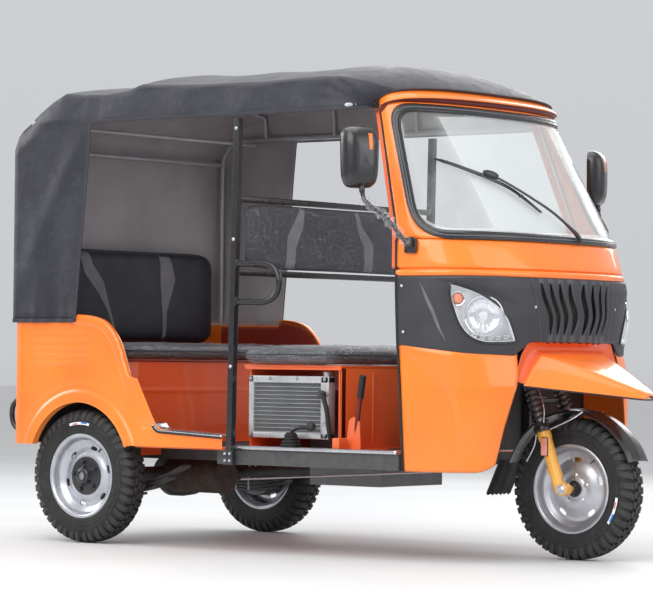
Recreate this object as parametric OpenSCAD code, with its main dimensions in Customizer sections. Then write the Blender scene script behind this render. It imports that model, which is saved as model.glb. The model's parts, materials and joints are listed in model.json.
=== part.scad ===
// Three-wheeled passenger auto rickshaw: steel ladder chassis, moulded front cab, folding-type
// vinyl canopy on a tube frame, raked front fork and a sprung live rear axle.
// Millimetres. X forward, Y to the vehicle's left, Z up. The modules are written with x = 0 at the
// rear axle and y = 0 on the centre plane; x_shift then moves the whole to the middle of its box.

/* [Wheels] */
// Outer radius of the tyres
tyre_r = 262; // [250:1:270]
// Width of the tyres
tyre_w = 112; // [100:1:118]
// Radius of the rim flanges
flange_r = 166; // [160:1:170]
// Distance between the front and rear axles
wheelbase = 1940; // [1900:5:1980]
// Distance between the middles of the rear tyres
track = 1112; // [1090:2:1130]

/* [Steering] */
// Rake of the fork from the vertical, in degrees
rake = 20; // [18:0.2:22]
// Distance of the steering axis behind the fork legs
fork_offset = 45; // [40:1:50]
// Distance of each fork leg from the centre plane
leg_y = 95; // [90:1:105]

/* [Body] */
// Half width of the rear body over its side skins
body_hw = 634; // [632:1:638]
// Thickness of the pressed steel and moulded panels
skin = 6; // [4:1:8]
// Height of the passenger floor
floor_z = 436; // [430:1:442]
// Height of the driver's floor
cab_floor_z = 396; // [395:1:404]
// Height of the top of the chassis rails
rail_z = 390; // [380:1:390]

/* [Canopy] */
// Height of the canopy at the middle of a bow
roof_z = 1868; // [1850:1:1890]
// Height of the lower edge of the side valances
valance_z = 1650; // [1640:1:1660]
// Thickness of the vinyl and its lining
cloth = 8; // [6:1:10]

/* [Hidden] */
$fn = 48;
x_shift = -912;
W2 = track/2;

// Colours of the finished object
ORANGE = [1.0, 0.42, 0.05]; BLACK = [0.06, 0.06, 0.07]; MASK = [0.16, 0.16, 0.17];
VINYL = [0.10, 0.11, 0.13]; STEEL = [0.75, 0.76, 0.78]; RUBBER = [0.07, 0.07, 0.07];
GREY = [0.45, 0.45, 0.46]; YELLOW = [0.95, 0.62, 0.15]; GLASS = [0.8, 0.9, 0.95, 0.35];

// ---- helpers ----
// A round bar of radius r from a to b
module rod(a, b, r) {
  v = b - a; L = norm(v);
  translate(a) rotate([0, acos(v[2]/L), atan2(v[1], v[0])]) cylinder(h = L, r = r);
}
// A rectangular bar from a to b, w wide across and h high
module bar(a, b, w, h) {
  v = b - a; L = norm(v);
  translate(a) rotate([0, -asin(v[2]/L), atan2(v[1], v[0])]) translate([0, -w/2, -h/2]) cube([L, w, h]);
}
// A block given by its two opposite corners
module block(a, b) translate(a) cube(b - a);
module both() { children(); mirror([0, 1, 0]) children(); }
module left() { mirror([0, 1, 0]) children(); }
// A plate th thick whose outline pts lies in the XZ plane, its outer face at y = -hw
module side_plate(pts, hw, th) translate([0, -hw + th, 0]) rotate([90, 0, 0]) linear_extrude(th) polygon(pts);
function flat(a) = [for (r = a) for (p = r) p];
// A closed shell between two grids of points, A outside and B inside, both n rows by m columns
module shell(A, B) {
  n = len(A); m = len(A[0]); N = n*m;
  i0 = floor((n-1)/2); j0 = floor((m-1)/2);
  flip = cross(A[i0+1][j0]-A[i0][j0], A[i0][j0+1]-A[i0][j0])*(A[i0][j0]-B[i0][j0]) < 0;
  q = function(a, b, c, d) flip ? [[a, c, b], [a, d, c]] : [[a, b, c], [a, c, d]];
  top = [for (i = [0:n-2]) for (j = [0:m-2]) each q(i*m+j, i*m+j+1, (i+1)*m+j+1, (i+1)*m+j)];
  bot = [for (i = [0:n-2]) for (j = [0:m-2]) each q(N+(i+1)*m+j, N+(i+1)*m+j+1, N+i*m+j+1, N+i*m+j)];
  e1 = [for (i = [0:n-2]) each q((i+1)*m, N+(i+1)*m, N+i*m, i*m)];
  e2 = [for (i = [0:n-2]) each q(i*m+m-1, N+i*m+m-1, N+(i+1)*m+m-1, (i+1)*m+m-1)];
  e3 = [for (j = [0:m-2]) each q(j, N+j, N+j+1, j+1)];
  e4 = [for (j = [0:m-2]) each q((n-1)*m+j+1, N+(n-1)*m+j+1, N+(n-1)*m+j, (n-1)*m+j)];
  polyhedron(points = concat(flat(A), flat(B)), faces = concat(top, bot, e1, e2, e3, e4), convexity = 8);
}
// A tube of radius r swept along the points of a path; up is never along the path
function unit(v) = v/norm(v);
function tangents(p) = [for (i = [0:len(p)-1]) unit(i == 0 ? p[1]-p[0] : i == len(p)-1 ? p[i]-p[i-1] : unit(p[i+1]-p[i])+unit(p[i]-p[i-1]))];
module tube(p, r, up = [0, 0, 1], k = 10) {
  T = tangents(p); n = len(p);
  pts = [for (i = [0:n-1]) let (s = unit(cross(T[i], up)), u = cross(s, T[i])) for (j = [0:k-1]) p[i] + r*(cos(360*j/k)*s + sin(360*j/k)*u)];
  side = [for (i = [0:n-2]) for (j = [0:k-1]) let (a = i*k+j, b = i*k+(j+1)%k) each [[a, b, b+k], [a, b+k, a+k]]];
  polyhedron(points = pts, faces = concat(side, [[for (j = [k-1:-1:0]) j]], [[for (j = [0:k-1]) (n-1)*k+j]]), convexity = 6);
}

// ---- cab form: plan sections, a superellipse round the nose ----
// columns: height, x of the rear edge, half width, x of the nose
CAB = [[325, 1573, 588, 1950], [640, 1560, 595, 1955], [760, 1553, 598, 1928], [800, 1551, 600, 1930], [900, 1548, 602, 1940],
       [1000, 1545, 603, 1936], [1062, 1545, 603, 1920], [1190, 1545, 603, 1862], [1680, 1394, 520, 1568]];
function col(c, z) = lookup(z, [for (r = CAB) [r[0], r[c]]]);
CAB_N = 2.5;
// t runs from -90 at the right rear edge through 0 at the nose to 90 at the left; off is inward
function cab(t, z, off = 0) = [
  col(1, z) + (col(3, z) - col(1, z) - off)*pow(max(0, cos(t)), 2/CAB_N),
  (col(2, z) - off)*sign(sin(t))*pow(abs(sin(t)), 2/CAB_N), z];
// A patch of the cab: u runs across and v up, and T and Z give the angle and the height there
module cab_patch(T, Z, nu, nv, off = 0, th = skin) {
  g = function(o) [for (i = [0:nu]) [for (j = [0:nv]) cab(T(i/nu, j/nv), Z(T(i/nu, j/nv), j/nv), o)]];
  shell(g(off), g(off + th));
}
function span(a, b) = function(u, v) a + (b-a)*u;
function between(lo, hi) = function(t, v) lo + (hi-lo)*v;
// Lower edge of the black mask: low beside the headlamps, raised over the mudguard's root
function mask_low(t) = let (a = abs(t)) a > 45 ? 751 + 31*pow((a-45)/45, 1.5) : a > 30 ? 751 : a > 22 ? 751 + 49*(30-a)/8 : 800;
mask_top = 1036;

// ---- front cab ----
module front_cowls() color(ORANGE) both() cab_patch(
  function(u, v) -90 + u*(90 - (v < 0.75 ? 42.5 - 13*v/0.75 : 29.5 + 2*(v-0.75)/0.25)),
  function(t, v) let (lo = 326 + 34*pow(max(0, (t + 56)/14), 2)) lo + (mask_low(t) - 2 - lo)*v, 14, 6);
// Angle of the seam between the mask's sides and the grille, v up
function seam(v) = 17 + 5*v;
function mask_z(t, v) = mask_low(t) + (mask_top - mask_low(t))*v;
module front_mask() color(MASK) both() cab_patch(function(u, v) -90 + (90 - seam(v) - 0.3)*u, function(t, v) mask_z(t, v), 18, 5);
module grille() color(MASK) cab_patch(function(u, v) seam(v)*(2*u - 1), function(t, v) mask_z(t, v), 16, 4);
module upper_cowl() color(ORANGE) cab_patch(span(-90, 90), between(mask_top + 1, 1170), 36, 3);
module windscreen_frame() color(ORANGE) {
  both() cab_patch(span(-90, -82), between(1171, 1674), 3, 6);
  cab_patch(span(-90, 90), between(1675, 1690), 30, 1);
}
module windscreen_glass() color(GLASS) cab_patch(span(-81.6, 81.6), between(1171, 1674), 30, 5, 1, 5);
// A point of a row that curves round the top of the cab: u runs -1 to 1 across, r is as in the visor's table
function brow(r, u, o, oz) = let (c = pow(1 - pow(abs(u), 2.5), 0.4)) [r[0] + (r[1]-r[0])*c - o*c, (r[2]-o)*u, r[3] + (r[4]-r[3])*pow(c, 0.35) - oz];
// The visor stands over the top of the windscreen, from the canopy's front hem out to a lip
module visor() color(ORANGE) {
  // columns: x of the ends, x of the middle, half width, height of the ends, height of the middle
  V = [[1399, 1542, 532, 1668, 1728], [1402, 1566, 535, 1660, 1717], [1404, 1583, 538, 1652, 1705]];
  g = function(o) [for (r = V) [for (i = [0:28]) let (t = -90 + 180*i/28, u = sign(sin(t))*pow(abs(sin(t)), 0.8)) brow(r, u, o, o*0.3)]];
  shell(g(0), g(5));
}
// Outline of the headlamp on the mask. Columns: angle, lower edge, upper edge
LAMP = [[-64, 1003, 1012], [-62, 906, 1009], [-54.7, 824, 994], [-45, 797, 960], [-38.6, 796, 926], [-33, 797, 873], [-29.6, 799, 806]];
module headlamps() color(GLASS) both() cab_patch(span(-64, -29.6),
  function(t, v) let (lo = lookup(t, [for (r = LAMP) [r[0], r[1]]]), hi = lookup(t, [for (r = LAMP) [r[0], r[2]]])) lo + (hi-lo)*v, 14, 3, -9, 8);
// Columns: x, half width and height of the upper crease, half width and height of the lower edge, height of the crown
MUDGUARD = [[1912, 218, 758, 322, 641, 764], [1960, 192, 741, 284, 635, 749], [2030, 154, 713, 228, 626, 721], [2100, 116, 684, 172, 617, 690], [2170, 77, 653, 116, 608, 658], [2225, 45, 628, 68, 600, 632], [2254, 22, 613, 34, 596, 616]];
module front_mudguard() color(ORANGE) {
  g = function(o) [for (r = MUDGUARD) concat(
    [for (k = [-6:-4]) let (u = (k+6)/3) [r[0], -r[3] + (r[3]-r[1])*u + o, r[4] + (r[2]-r[4])*u - o*0.4]],
    [for (k = [-3:3]) let (u = k/3) [r[0], u*(r[1]-o*0.6), r[2] + (r[5]-r[2])*(1-u*u) - o]],
    [for (k = [4:6]) let (u = (6-k)/3) [r[0], r[3] - (r[3]-r[1])*u - o, r[4] + (r[2]-r[4])*u - o*0.4]])];
  shell(g(0), g(skin));
  cab_patch(span(-18, 18), between(772, 796), 10, 2);
}
module front_bulkhead() color(ORANGE) block([1561, -576, cab_floor_z], [1566, 576, 800]);
module dashboard() color(BLACK) intersection() {
  block([1722, -330, 1104], [1900, 330, 1188]);
  translate([1722, 0, 1000]) scale(1) cylinder(h = 300, r = 120, $fn = 64);
}
module wiper() color(MASK) {
  tube([cab(4.7, 1160, -12), cab(4.7, 1187, -16), cab(-1, 1281, -24), cab(-12, 1350, -26), cab(-23, 1410, -24)], 4.5, k = 8);
  tube([cab(-54, 1462, -13), cab(-40, 1440, -13), cab(-24, 1398, -12), cab(-12, 1344, -12), cab(-4.7, 1284, -12)], 5, k = 8);
}
// A rounded rectangle of half width a, half height b and corner radius r
function round_rect(a, b, r) = [for (c = [[1, 1, 0], [-1, 1, 90], [-1, -1, 180], [1, -1, 270]]) for (k = [0:5]) [c[0]*(a-r) + r*cos(c[2] + 18*k), c[1]*(b-r) + r*sin(c[2] + 18*k)]];
module mirror_one() {
  tube([[1612, -625, 1150], [1612, -638, 1150], [1610, -652, 1161], [1600, -690, 1205], [1580, -728, 1248], [1545, -756, 1280], [1520, -768, 1305], [1512, -770, 1326], [1509, -770, 1338]], 8, up = [1, 0, 0]);
  translate([1503, -770, 1460]) rotate([0, 0, -22]) {
    translate([-22, 0, 0]) rotate([90, 0, 90]) linear_extrude(44) polygon(round_rect(77, 119, 27));
    translate([22, 0, 0]) rotate([90, 0, 90]) linear_extrude(14) polygon(round_rect(68, 109, 34));
  }
  block([1590, -624, 1122], [1634, -606, 1172]);
}
module mirrors() color(BLACK) both() mirror_one();

// ---- chassis ----
module chassis_rails() color(BLACK) {
  both() block([-320, -320, rail_z-60], [1560, -280, rail_z]);
  both() block([700, -603.5, rail_z-60], [1560, -572, rail_z]);
}
module cross_members() color(BLACK) for (x = [-300, 420, 780, 1180, 1518]) {
  block([x, -279, rail_z-50], [x+40, 279, rail_z-5]);
  if (x > 500) both() block([x, -571, rail_z-50], [x+40, -321, rail_z-5]);
}
// Steering axis and fork leg line, by height
function steer(z) = [wheelbase - (15 + fork_offset)/cos(rake) - tan(rake)*(z - tyre_r), 0, z];
function leg(z, s = -1) = [wheelbase - 15/cos(rake) - tan(rake)*(z - tyre_r), s*leg_y, z];
module steering_head() color(BLACK) {
  difference() {
    union() {
      rod(steer(800), steer(985), 29);
      both() bar([1590, -180, 880], steer(905) - [20, 0, 0], 30, 50);
      both() block([1567, -210, 390], [1603, -170, 915]);
    }
    rod(steer(760), steer(1030), 15.3);
  }
}
module floor_pan() color(ORANGE) {
  translate([0, 0, floor_z-6]) linear_extrude(6) polygon([[166, -466], [300, -466], [300, -626], [754, -626], [754, -601], [754, 601], [754, 626], [300, 626], [300, 466], [166, 466]]);
  block([748, -570, rail_z], [754, 570, floor_z-6]);
  difference() {
    block([755, -570, cab_floor_z-6], [1560, 570, cab_floor_z]);
    block([800, -250, 300], [1190, 250, 450]);
  }
  both() block([804, -601, cab_floor_z-5], [1560, -571, cab_floor_z]);
}
module step_strips() color(STEEL) both() {
  block([330, -627, floor_z], [740, -570, floor_z+4]);
  block([806, -603, cab_floor_z+0.5], [1540, -560, cab_floor_z+3.5]);
}
module driver_seat_box() color(ORANGE) {
  block([746, -505, 700], [1216, 505, 708]);
  block([1206, -500, cab_floor_z], [1214, 500, 700]);
  block([756, -480, cab_floor_z], [762, 480, 700]);
}
module driver_seat_cushion() color(VINYL) block([745, -556, 709], [1218, 556, 784]);
module driver_backrest() color(VINYL) block([792, -585, 1072], [826, 585, 1318]);
// Middle of the B-pillars, by height
function pillar_x(z) = 777 + 23*(z - 328)/1320;
module b_pillars() color(BLACK) both() side_plate([[764, 326], [790, 326], [813, 1640], [787, 1640]], 632, 27);
module backrest_bars() color(BLACK) for (z = [1334, 1056]) block([pillar_x(z)-12, -604.5, z-12], [pillar_x(z)+12, 604.5, z+12]);
module armrest_loops() color(BLACK) both() tube(concat([[816, -618, 1088]], [for (a = [90:-22.5:-90]) [934 + 72*cos(a), -618, 1016 + 72*sin(a)]], [[816, -618, 944]]), 12, up = [0, 1, 0], k = 12);
module radiator() color(STEEL) {
  block([764, -497, 431], [1151, -455, 667]);
}
module driver_controls() color(RUBBER) {
  translate([1010, -543, cab_floor_z+4]) cylinder(r1 = 42, r2 = 22, h = 60);
  rod([1440, -170, cab_floor_z+2], [1462, -170, 510], 8);
  block([1440, -205, 512], [1490, -135, 522]);
}

// ---- canopy ----
// columns: x, height of the crown, height of the shoulder
ROOF = [[-344, 1642, 1622], [-295, 1690, 1660], [-240, 1740, 1702], [-170, 1786, 1745], [-100, 1830, 1776], [0, 1830, 1766],
        [120, 1832, 1764], [235, 1842, 1776], [300, 1866, 1796], [620, 1858, 1782], [900, 1858, 1780], [1200, 1862, 1786]];
// Front of the roof, drawn in to the hem that lies on the visor: rows as in the visor's table
FRONT = [[1290, 1330, 590, 1766, 1838], [1345, 1450, 560, 1728, 1798], [1380, 1526, 526, 1687, 1746]];
function shoulder(x) = lookup(x, [for (r = ROOF) [r[0], r[2]]]);
module canopy_roof() color(VINYL) {
  g = function(o) [for (r = ROOF) [for (k = [-8:8]) let (u = k/8, a = abs(u)) [r[0], u*(606-o), r[2] + (r[1]-r[2])*(1-pow(a, 2.4)) - o]]];
  h = function(o) concat(g(o), [for (r = FRONT) [for (k = [-8:8]) brow(r, k/8, o, o)]]);
  shell(h(0), h(cloth));
}
module canopy_sides() color(VINYL) both() {
  v = function(o) [for (i = [0:13]) let (x = -225 + (1400+225)*i/13) [[x, -606+o, shoulder(x)-14], [x, -625+o, shoulder(x)-32], [x, -641+o, valance_z+1]]];
  shell(v(0), v(cloth));
  q = function(o) [for (i = [0:4]) [for (j = [0:3]) let (x = -344 + (340 + 70*j/3)*i/4, top = min(valance_z - 1, shoulder(x) - 12)) [x, -643+o, 872 + (top - 872)*j/3]]];
  shell(q(0), q(cloth));
}
module canopy_rear() color(VINYL) block([-353, -628, 873], [-345, 628, 1640]);
// Steel tube bows and rails under the roof
module canopy_frame() color(STEEL) {
  for (x = [-80, 290, 720, 1120]) tube([for (k = [-6:6]) let (u = k/6) [x, u*596, 1702 + (shoulder(x) - 1756) + 78*(1-pow(abs(u), 3)) ]], 9, up = [1, 0, 0], k = 8);
  both() rod([-222, -616, 1664], [1262, -616, 1664], 9);
}

// ---- rear body ----
module rear_body_sides() color(ORANGE) both() difference() {
  side_plate([[-338, 383], [-338, 871], [-4, 871], [-4, 896], [92, 886], [135, 874], [163, 856], [194, 826], [235, 763], [271, 659], [316, 649], [418, 466], [752, 436], [752, 389], [270, 389]], body_hw, skin);
  translate([15, -body_hw-20, 290]) rotate([-90, 0, 0]) cylinder(r = 262, h = 60);
}
module rear_panel() color(ORANGE) difference() {
  block([-338, -body_hw+skin+1, 383], [-332, body_hw-skin-1, 871]);
  for (s = [-1, 1]) translate([-350, s*80, 585]) rotate([0, 90, 0]) cylinder(r = 4, h = 30);
}
module wheelhouses() color(BLACK) both() intersection() {
  block([-300, -627, 392], [300, -467, 600]);
  difference() {
    translate([8, -467, 280]) rotate([90, 0, 0]) cylinder(r = 291, h = 160);
    translate([8, -471, 280]) rotate([90, 0, 0]) cylinder(r = 287, h = 170);
  }
}
module rear_bumper() color(BLACK) {
  tube([[-344, -500, 420], [-380, -510, 422], [-412, -500, 430], [-416, -460, 436], [-416, 460, 436], [-412, 500, 430], [-380, 510, 422], [-344, 500, 420]], 14);
}
module tail_lamps() color([0.8, 0.05, 0.03]) both() block([-352, -560, 640], [-339, -470, 790]);
module number_plate_bracket() color(BLACK) difference() {
  block([-345, -120, 530], [-339, 120, 640]);
  for (s = [-1, 1]) translate([-350, s*80, 585]) rotate([0, 90, 0]) cylinder(r = 3.5, h = 30);
}
module passenger_seat_box() color(ORANGE) {
  translate([160, 0, 0]) rotate([90, 0, 90]) linear_extrude(6)
    polygon([[-626, 578], [-466, 578], [-466, floor_z-6], [466, floor_z-6], [466, 578], [626, 578], [626, 716], [-626, 716]]);
  block([-331, -626, 716], [166, 626, 724]);
}
module passenger_seat_cushion() color(VINYL) block([-230, -600, 725], [178, 600, 788]);
module passenger_backrest() color(VINYL) block([-331, -500, 789], [-235, 500, 1172]);

// ---- driveline ----
module engine() color(GREY) {
  block([830, -200, 246], [1170, 200, 610]);
}
module muffler() color(BLACK) rod([120, -180, 262], [390, -180, 262], 68);
module rear_axle() color(BLACK) {
  rod([0, -466, tyre_r], [0, 466, tyre_r], 30);
  translate([0, 0, tyre_r]) sphere(r = 92);
  both() rod([0, -600, tyre_r], [0, -466, tyre_r], 17.5);
}
module leaf_springs() color(BLACK) both() for (k = [0:3]) for (s = [0])
  side_plate([for (i = [-5:5]) let (u = i/5, L = 360 - 75*k) [20 + u*L, 216 - 13*k + 86*pow(u*L/360, 2)],
    for (i = [5:-1:-5]) let (u = i/5, L = 360 - 75*k) [20 + u*L, 226 - 13*k + 86*pow(u*L/360, 2)]], 435, 50);
module drive_shaft() color(BLACK) rod([93, 0, tyre_r], [829, 0, 300], 20);
module brake_rod() color(BLACK) rod([600, -340, 262], [1520, -340, 318], 4);

// ---- steering ----
module front_fork() color(BLACK) {
  rod(steer(742), steer(1078), 15);
  translate(steer(742)) rotate([0, -rake, 0]) linear_extrude(22) {
    for (s = [-1, 1]) translate([fork_offset, s*leg_y]) circle(r = 30);
    circle(r = 30);
    polygon([[-26, -20], [fork_offset-10, -leg_y-28], [fork_offset+10, -leg_y-28], [fork_offset+30, -leg_y+10], [fork_offset+30, leg_y-10], [fork_offset+10, leg_y+28], [fork_offset-10, leg_y+28], [-26, 20]]);
  }
  for (s = [-1, 1]) rod(leg(476, s), leg(740, s), 22);
  rod(leg(590, -1), leg(590, 1), 8);
  rod([wheelbase, -126, tyre_r], [wheelbase, 126, tyre_r], 8);
}
module fork_legs() color(YELLOW) for (s = [-1, 1]) difference() {
  union() {
    rod(leg(246, s), leg(475, s), 25);
    translate([wheelbase, s*leg_y, tyre_r]) rotate([90, 0, 0]) cylinder(r = 24, h = 40, center = true);
  }
  translate([wheelbase, s*leg_y, tyre_r]) rotate([90, 0, 0]) cylinder(r = 8.05, h = 80, center = true);
}
module wheel_mudguard() color(BLACK) {
  g = function(o) [for (i = [0:14]) let (a = 22 + 140*i/14) [for (k = [-3:3]) [wheelbase + (296-o)*cos(a), k/3*64, tyre_r + (296-o-8*pow(k/3, 2))*sin(a)]]];
  shell(g(0), g(4));
}
module mud_flap() color(RUBBER) translate([1578, 0, 226]) rotate([0, 25, 0]) block([-3, -78, 0], [3, 78, 150]);
module handlebar() color(BLACK) {
  h = steer(1092);
  tube([[h[0]-130, -340, 1104], [h[0]-90, -260, 1116], [h[0]-30, -150, 1112], [h[0], -60, 1096], [h[0], 60, 1096], [h[0]-30, 150, 1112], [h[0]-90, 260, 1116], [h[0]-130, 340, 1104]], 11);
}

// ---- wheels ----
module tyre() color(RUBBER) rotate([90, 0, 0]) rotate_extrude($fn = 96)
  polygon([[153.2, -44.4], [166.4, -46.9], [168, -53], [200, -tyre_w/2], [228, -tyre_w/2+1], [248, -tyre_w/2+6], [257, -40], [261, -20], [tyre_r, 0], [261, 20], [257, 40], [248, tyre_w/2-6], [228, tyre_w/2-1], [200, tyre_w/2], [168, 53], [166.4, 46.9], [153.2, 44.4]]);
// The outer face of the disc is towards -Y. b is the bore's radius, and the hub runs from e0 to e1, inboard first
module rim(b, e0, e1, drum = 0) color(STEEL) rotate([90, 0, 0]) rotate_extrude($fn = 96) {
  polygon([[152.7, -45], [152.7, 45], [flange_r, 47.5], [flange_r, 50.5], [150, 50.5], [146, 40], [144, 20], [120, 10], [70, 18], [b, 18], [b, 12], [68, 12], [118, 4], [143, 12], [146, -40], [150, -50.5], [flange_r, -50.5], [flange_r, -47.5]]);
  translate([b, e0]) square([38 - b, e1 - e0]);
  if (drum > 0) translate([b, -85]) square([drum - b, 92]);
}
module front_tyre() translate([wheelbase, 0, tyre_r]) tyre();
module front_rim() translate([wheelbase, 0, tyre_r]) rim(8.35, -62, 62);
module rear_right_tyre() translate([0, -W2, tyre_r]) tyre();
module rear_right_rim() translate([0, -W2, tyre_r]) rim(17.85, -30, 34, 105);
module rear_left_tyre() left() rear_right_tyre();
module rear_left_rim() left() rear_right_rim();

translate([x_shift, 0, 0]) {
  chassis_rails();
  cross_members();
  steering_head();
  front_cowls();
  front_mask();
  grille();
  upper_cowl();
  windscreen_frame();
  windscreen_glass();
  visor();
  headlamps();
  front_mudguard();
  front_bulkhead();
  dashboard();
  wiper();
  mirrors();
  floor_pan();
  step_strips();
  driver_seat_box();
  driver_seat_cushion();
  driver_backrest();
  backrest_bars();
  armrest_loops();
  radiator();
  driver_controls();
  b_pillars();
  canopy_frame();
  canopy_roof();
  canopy_sides();
  canopy_rear();
  passenger_seat_box();
  passenger_seat_cushion();
  passenger_backrest();
  rear_body_sides();
  rear_panel();
  wheelhouses();
  rear_bumper();
  tail_lamps();
  number_plate_bracket();
  engine();
  muffler();
  rear_axle();
  leaf_springs();
  drive_shaft();
  brake_rod();
  front_fork();
  fork_legs();
  wheel_mudguard();
  mud_flap();
  handlebar();
  front_tyre();
  front_rim();
  rear_right_tyre();
  rear_right_rim();
  rear_left_tyre();
  rear_left_rim();
}
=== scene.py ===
"""Looks of a three-wheel passenger auto rickshaw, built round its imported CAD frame.

Work coordinates are millimetres with x measured forward from the rear axle, y to the left and z up from the ground.
"""
import math
import bpy
import bmesh
import numpy as np
from mathutils import Matrix, Vector
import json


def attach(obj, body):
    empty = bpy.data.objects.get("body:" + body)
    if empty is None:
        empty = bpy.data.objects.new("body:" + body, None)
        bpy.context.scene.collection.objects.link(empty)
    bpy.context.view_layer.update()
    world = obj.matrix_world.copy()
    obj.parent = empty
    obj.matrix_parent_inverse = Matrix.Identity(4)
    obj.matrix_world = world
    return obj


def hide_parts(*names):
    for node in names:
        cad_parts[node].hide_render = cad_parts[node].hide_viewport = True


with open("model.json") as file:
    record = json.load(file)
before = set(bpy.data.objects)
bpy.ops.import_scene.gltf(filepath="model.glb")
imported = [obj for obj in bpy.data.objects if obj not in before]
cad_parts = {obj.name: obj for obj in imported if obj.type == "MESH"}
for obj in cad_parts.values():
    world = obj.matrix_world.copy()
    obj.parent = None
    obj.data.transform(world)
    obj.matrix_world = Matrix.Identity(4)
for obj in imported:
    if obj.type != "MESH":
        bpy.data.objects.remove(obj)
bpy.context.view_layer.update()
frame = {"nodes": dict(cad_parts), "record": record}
scene = bpy.context.scene
rng = np.random.default_rng(11)
pi, sin, cos, rad = math.pi, math.sin, math.cos, math.radians

X0 = -912.0  # where the rear axle is along the row's x axis
R, WB, TRACK, RAKE, OFF = 262.0, 1940.0, 1112.0, 20.0, 45.0


# ------------------------------------------------------------ mesh helpers
def rows(a):
    a = np.array(a, float).reshape(-1, 3)
    a[:, 0] += X0
    return a / 1000


def make(name, v, f, mats, body="root", fm=None, angle=38, repl=(), slot=None, smooth=True, weld=True):
    me = bpy.data.meshes.new(name)
    me.from_pydata(rows(v).tolist(), [], [tuple(int(i) for i in q) for q in f])
    mats = mats if isinstance(mats, (list, tuple)) else [mats]
    for m in mats:
        me.materials.append(m)
    if fm is not None:
        me.polygons.foreach_set("material_index", np.array(fm, np.int32))
    if weld:
        bm = bmesh.new()
        bm.from_mesh(me)
        bmesh.ops.remove_doubles(bm, verts=bm.verts, dist=2e-5)
        bmesh.ops.dissolve_degenerate(bm, edges=bm.edges, dist=1e-6)
        bmesh.ops.recalc_face_normals(bm, faces=bm.faces)
        bm.to_mesh(me)
        bm.free()
    me.polygons.foreach_set("use_smooth", [smooth] * len(me.polygons))
    if smooth and angle < 180:
        me.set_sharp_from_angle(angle=rad(angle))
    o = bpy.data.objects.new(name, me)
    scene.collection.objects.link(o)
    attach(o, body)
    if repl:
        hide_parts(*repl)
    slot or SLOT[mats[0].name]
    return o


def bevel(o, w, seg=2, angle=30):
    m = o.modifiers.new("edge", "BEVEL")
    m.width, m.segments, m.limit_method, m.angle_limit = w / 1000, seg, "ANGLE", rad(angle)
    m.harden_normals = False
    return o


def subd(o, lv=1):
    m = o.modifiers.new("smooth", "SUBSURF")
    m.levels = m.render_levels = lv
    return o


class Acc:
    """Several closed forms gathered into one piece."""

    def __init__(s):
        s.v, s.f, s.m, s.n = [], [], [], 0

    def add(s, vf, mi=0, mirror=False):
        v, f = vf
        v = np.array(v, float).reshape(-1, 3)
        s.v.append(v)
        s.f += [tuple(i + s.n for i in q) for q in f]
        s.m += [mi] * len(f)
        s.n += len(v)
        if mirror:
            w = v * [1, -1, 1]
            s.v.append(w)
            s.f += [tuple(i + s.n for i in q[::-1]) for q in f]
            s.m += [mi] * len(f)
            s.n += len(v)
        return s

    def make(s, name, mats, **k):
        k.setdefault("weld", False)
        return make(name, np.concatenate(s.v), s.f, mats, fm=s.m, **k)


def grid_faces(nu, nv, cu=False, cv=False, base=0):
    f = []
    for i in range(nu if cu else nu - 1):
        for j in range(nv if cv else nv - 1):
            a, b = i, (i + 1) % nu
            c, d = j, (j + 1) % nv
            f.append((base + a * nv + c, base + b * nv + c, base + b * nv + d, base + a * nv + d))
    return f


def sheet_vf(G, cu=False, cv=False):
    G = np.asarray(G, float)
    return G.reshape(-1, 3), grid_faces(G.shape[0], G.shape[1], cu, cv)


def normals(G):
    du = np.gradient(G, axis=0)
    dv = np.gradient(G, axis=1)
    n = np.cross(du, dv)
    return n / np.maximum(np.linalg.norm(n, axis=2, keepdims=True), 1e-9)


def shell_vf(A, B):
    """Closed plate between two grids of the same size."""
    A, B = np.asarray(A, float), np.asarray(B, float)
    nu, nv = A.shape[:2]
    n = nu * nv
    v = np.concatenate([A.reshape(-1, 3), B.reshape(-1, 3)])
    f = grid_faces(nu, nv) + [q[::-1] for q in grid_faces(nu, nv, base=n)]
    for i in range(nu - 1):
        for j, flip in ((0, False), (nv - 1, True)):
            a, b = i * nv + j, (i + 1) * nv + j
            q = (a, n + a, n + b, b)
            f.append(q if not flip else q[::-1])
    for j in range(nv - 1):
        for i, flip in ((0, True), (nu - 1, False)):
            a, b = i * nv + j, i * nv + j + 1
            q = (a, n + a, n + b, b)
            f.append(q if not flip else q[::-1])
    c = v.mean(0)
    vol = 0.0
    for q in f:
        p = v[list(q)] - c
        vol += np.dot(p[0], np.cross(p[1], p[2])) + (np.dot(p[0], np.cross(p[2], p[3])) if len(q) > 3 else 0)
    if vol < 0:
        f = [q[::-1] for q in f]
    return v, f


def spline(p, n, closed=False):
    """Catmull-Rom curve through points, n samples a span."""
    p = np.asarray(p, float)
    m = len(p)
    out = []
    spans = m if closed else m - 1
    for i in range(spans):
        if closed:
            a, b, c, d = p[(i - 1) % m], p[i], p[(i + 1) % m], p[(i + 2) % m]
        else:
            b, c = p[i], p[i + 1]
            a = p[i - 1] if i else 2 * b - c
            d = p[i + 2] if i + 2 < m else 2 * c - b
        for k in range(n):
            t = k / n
            out.append(0.5 * (2 * b + (c - a) * t + (2 * a - 5 * b + 4 * c - d) * t * t + (3 * b - a - 3 * c + d) * t ** 3))
    if not closed:
        out.append(p[-1])
    return np.array(out)


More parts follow.
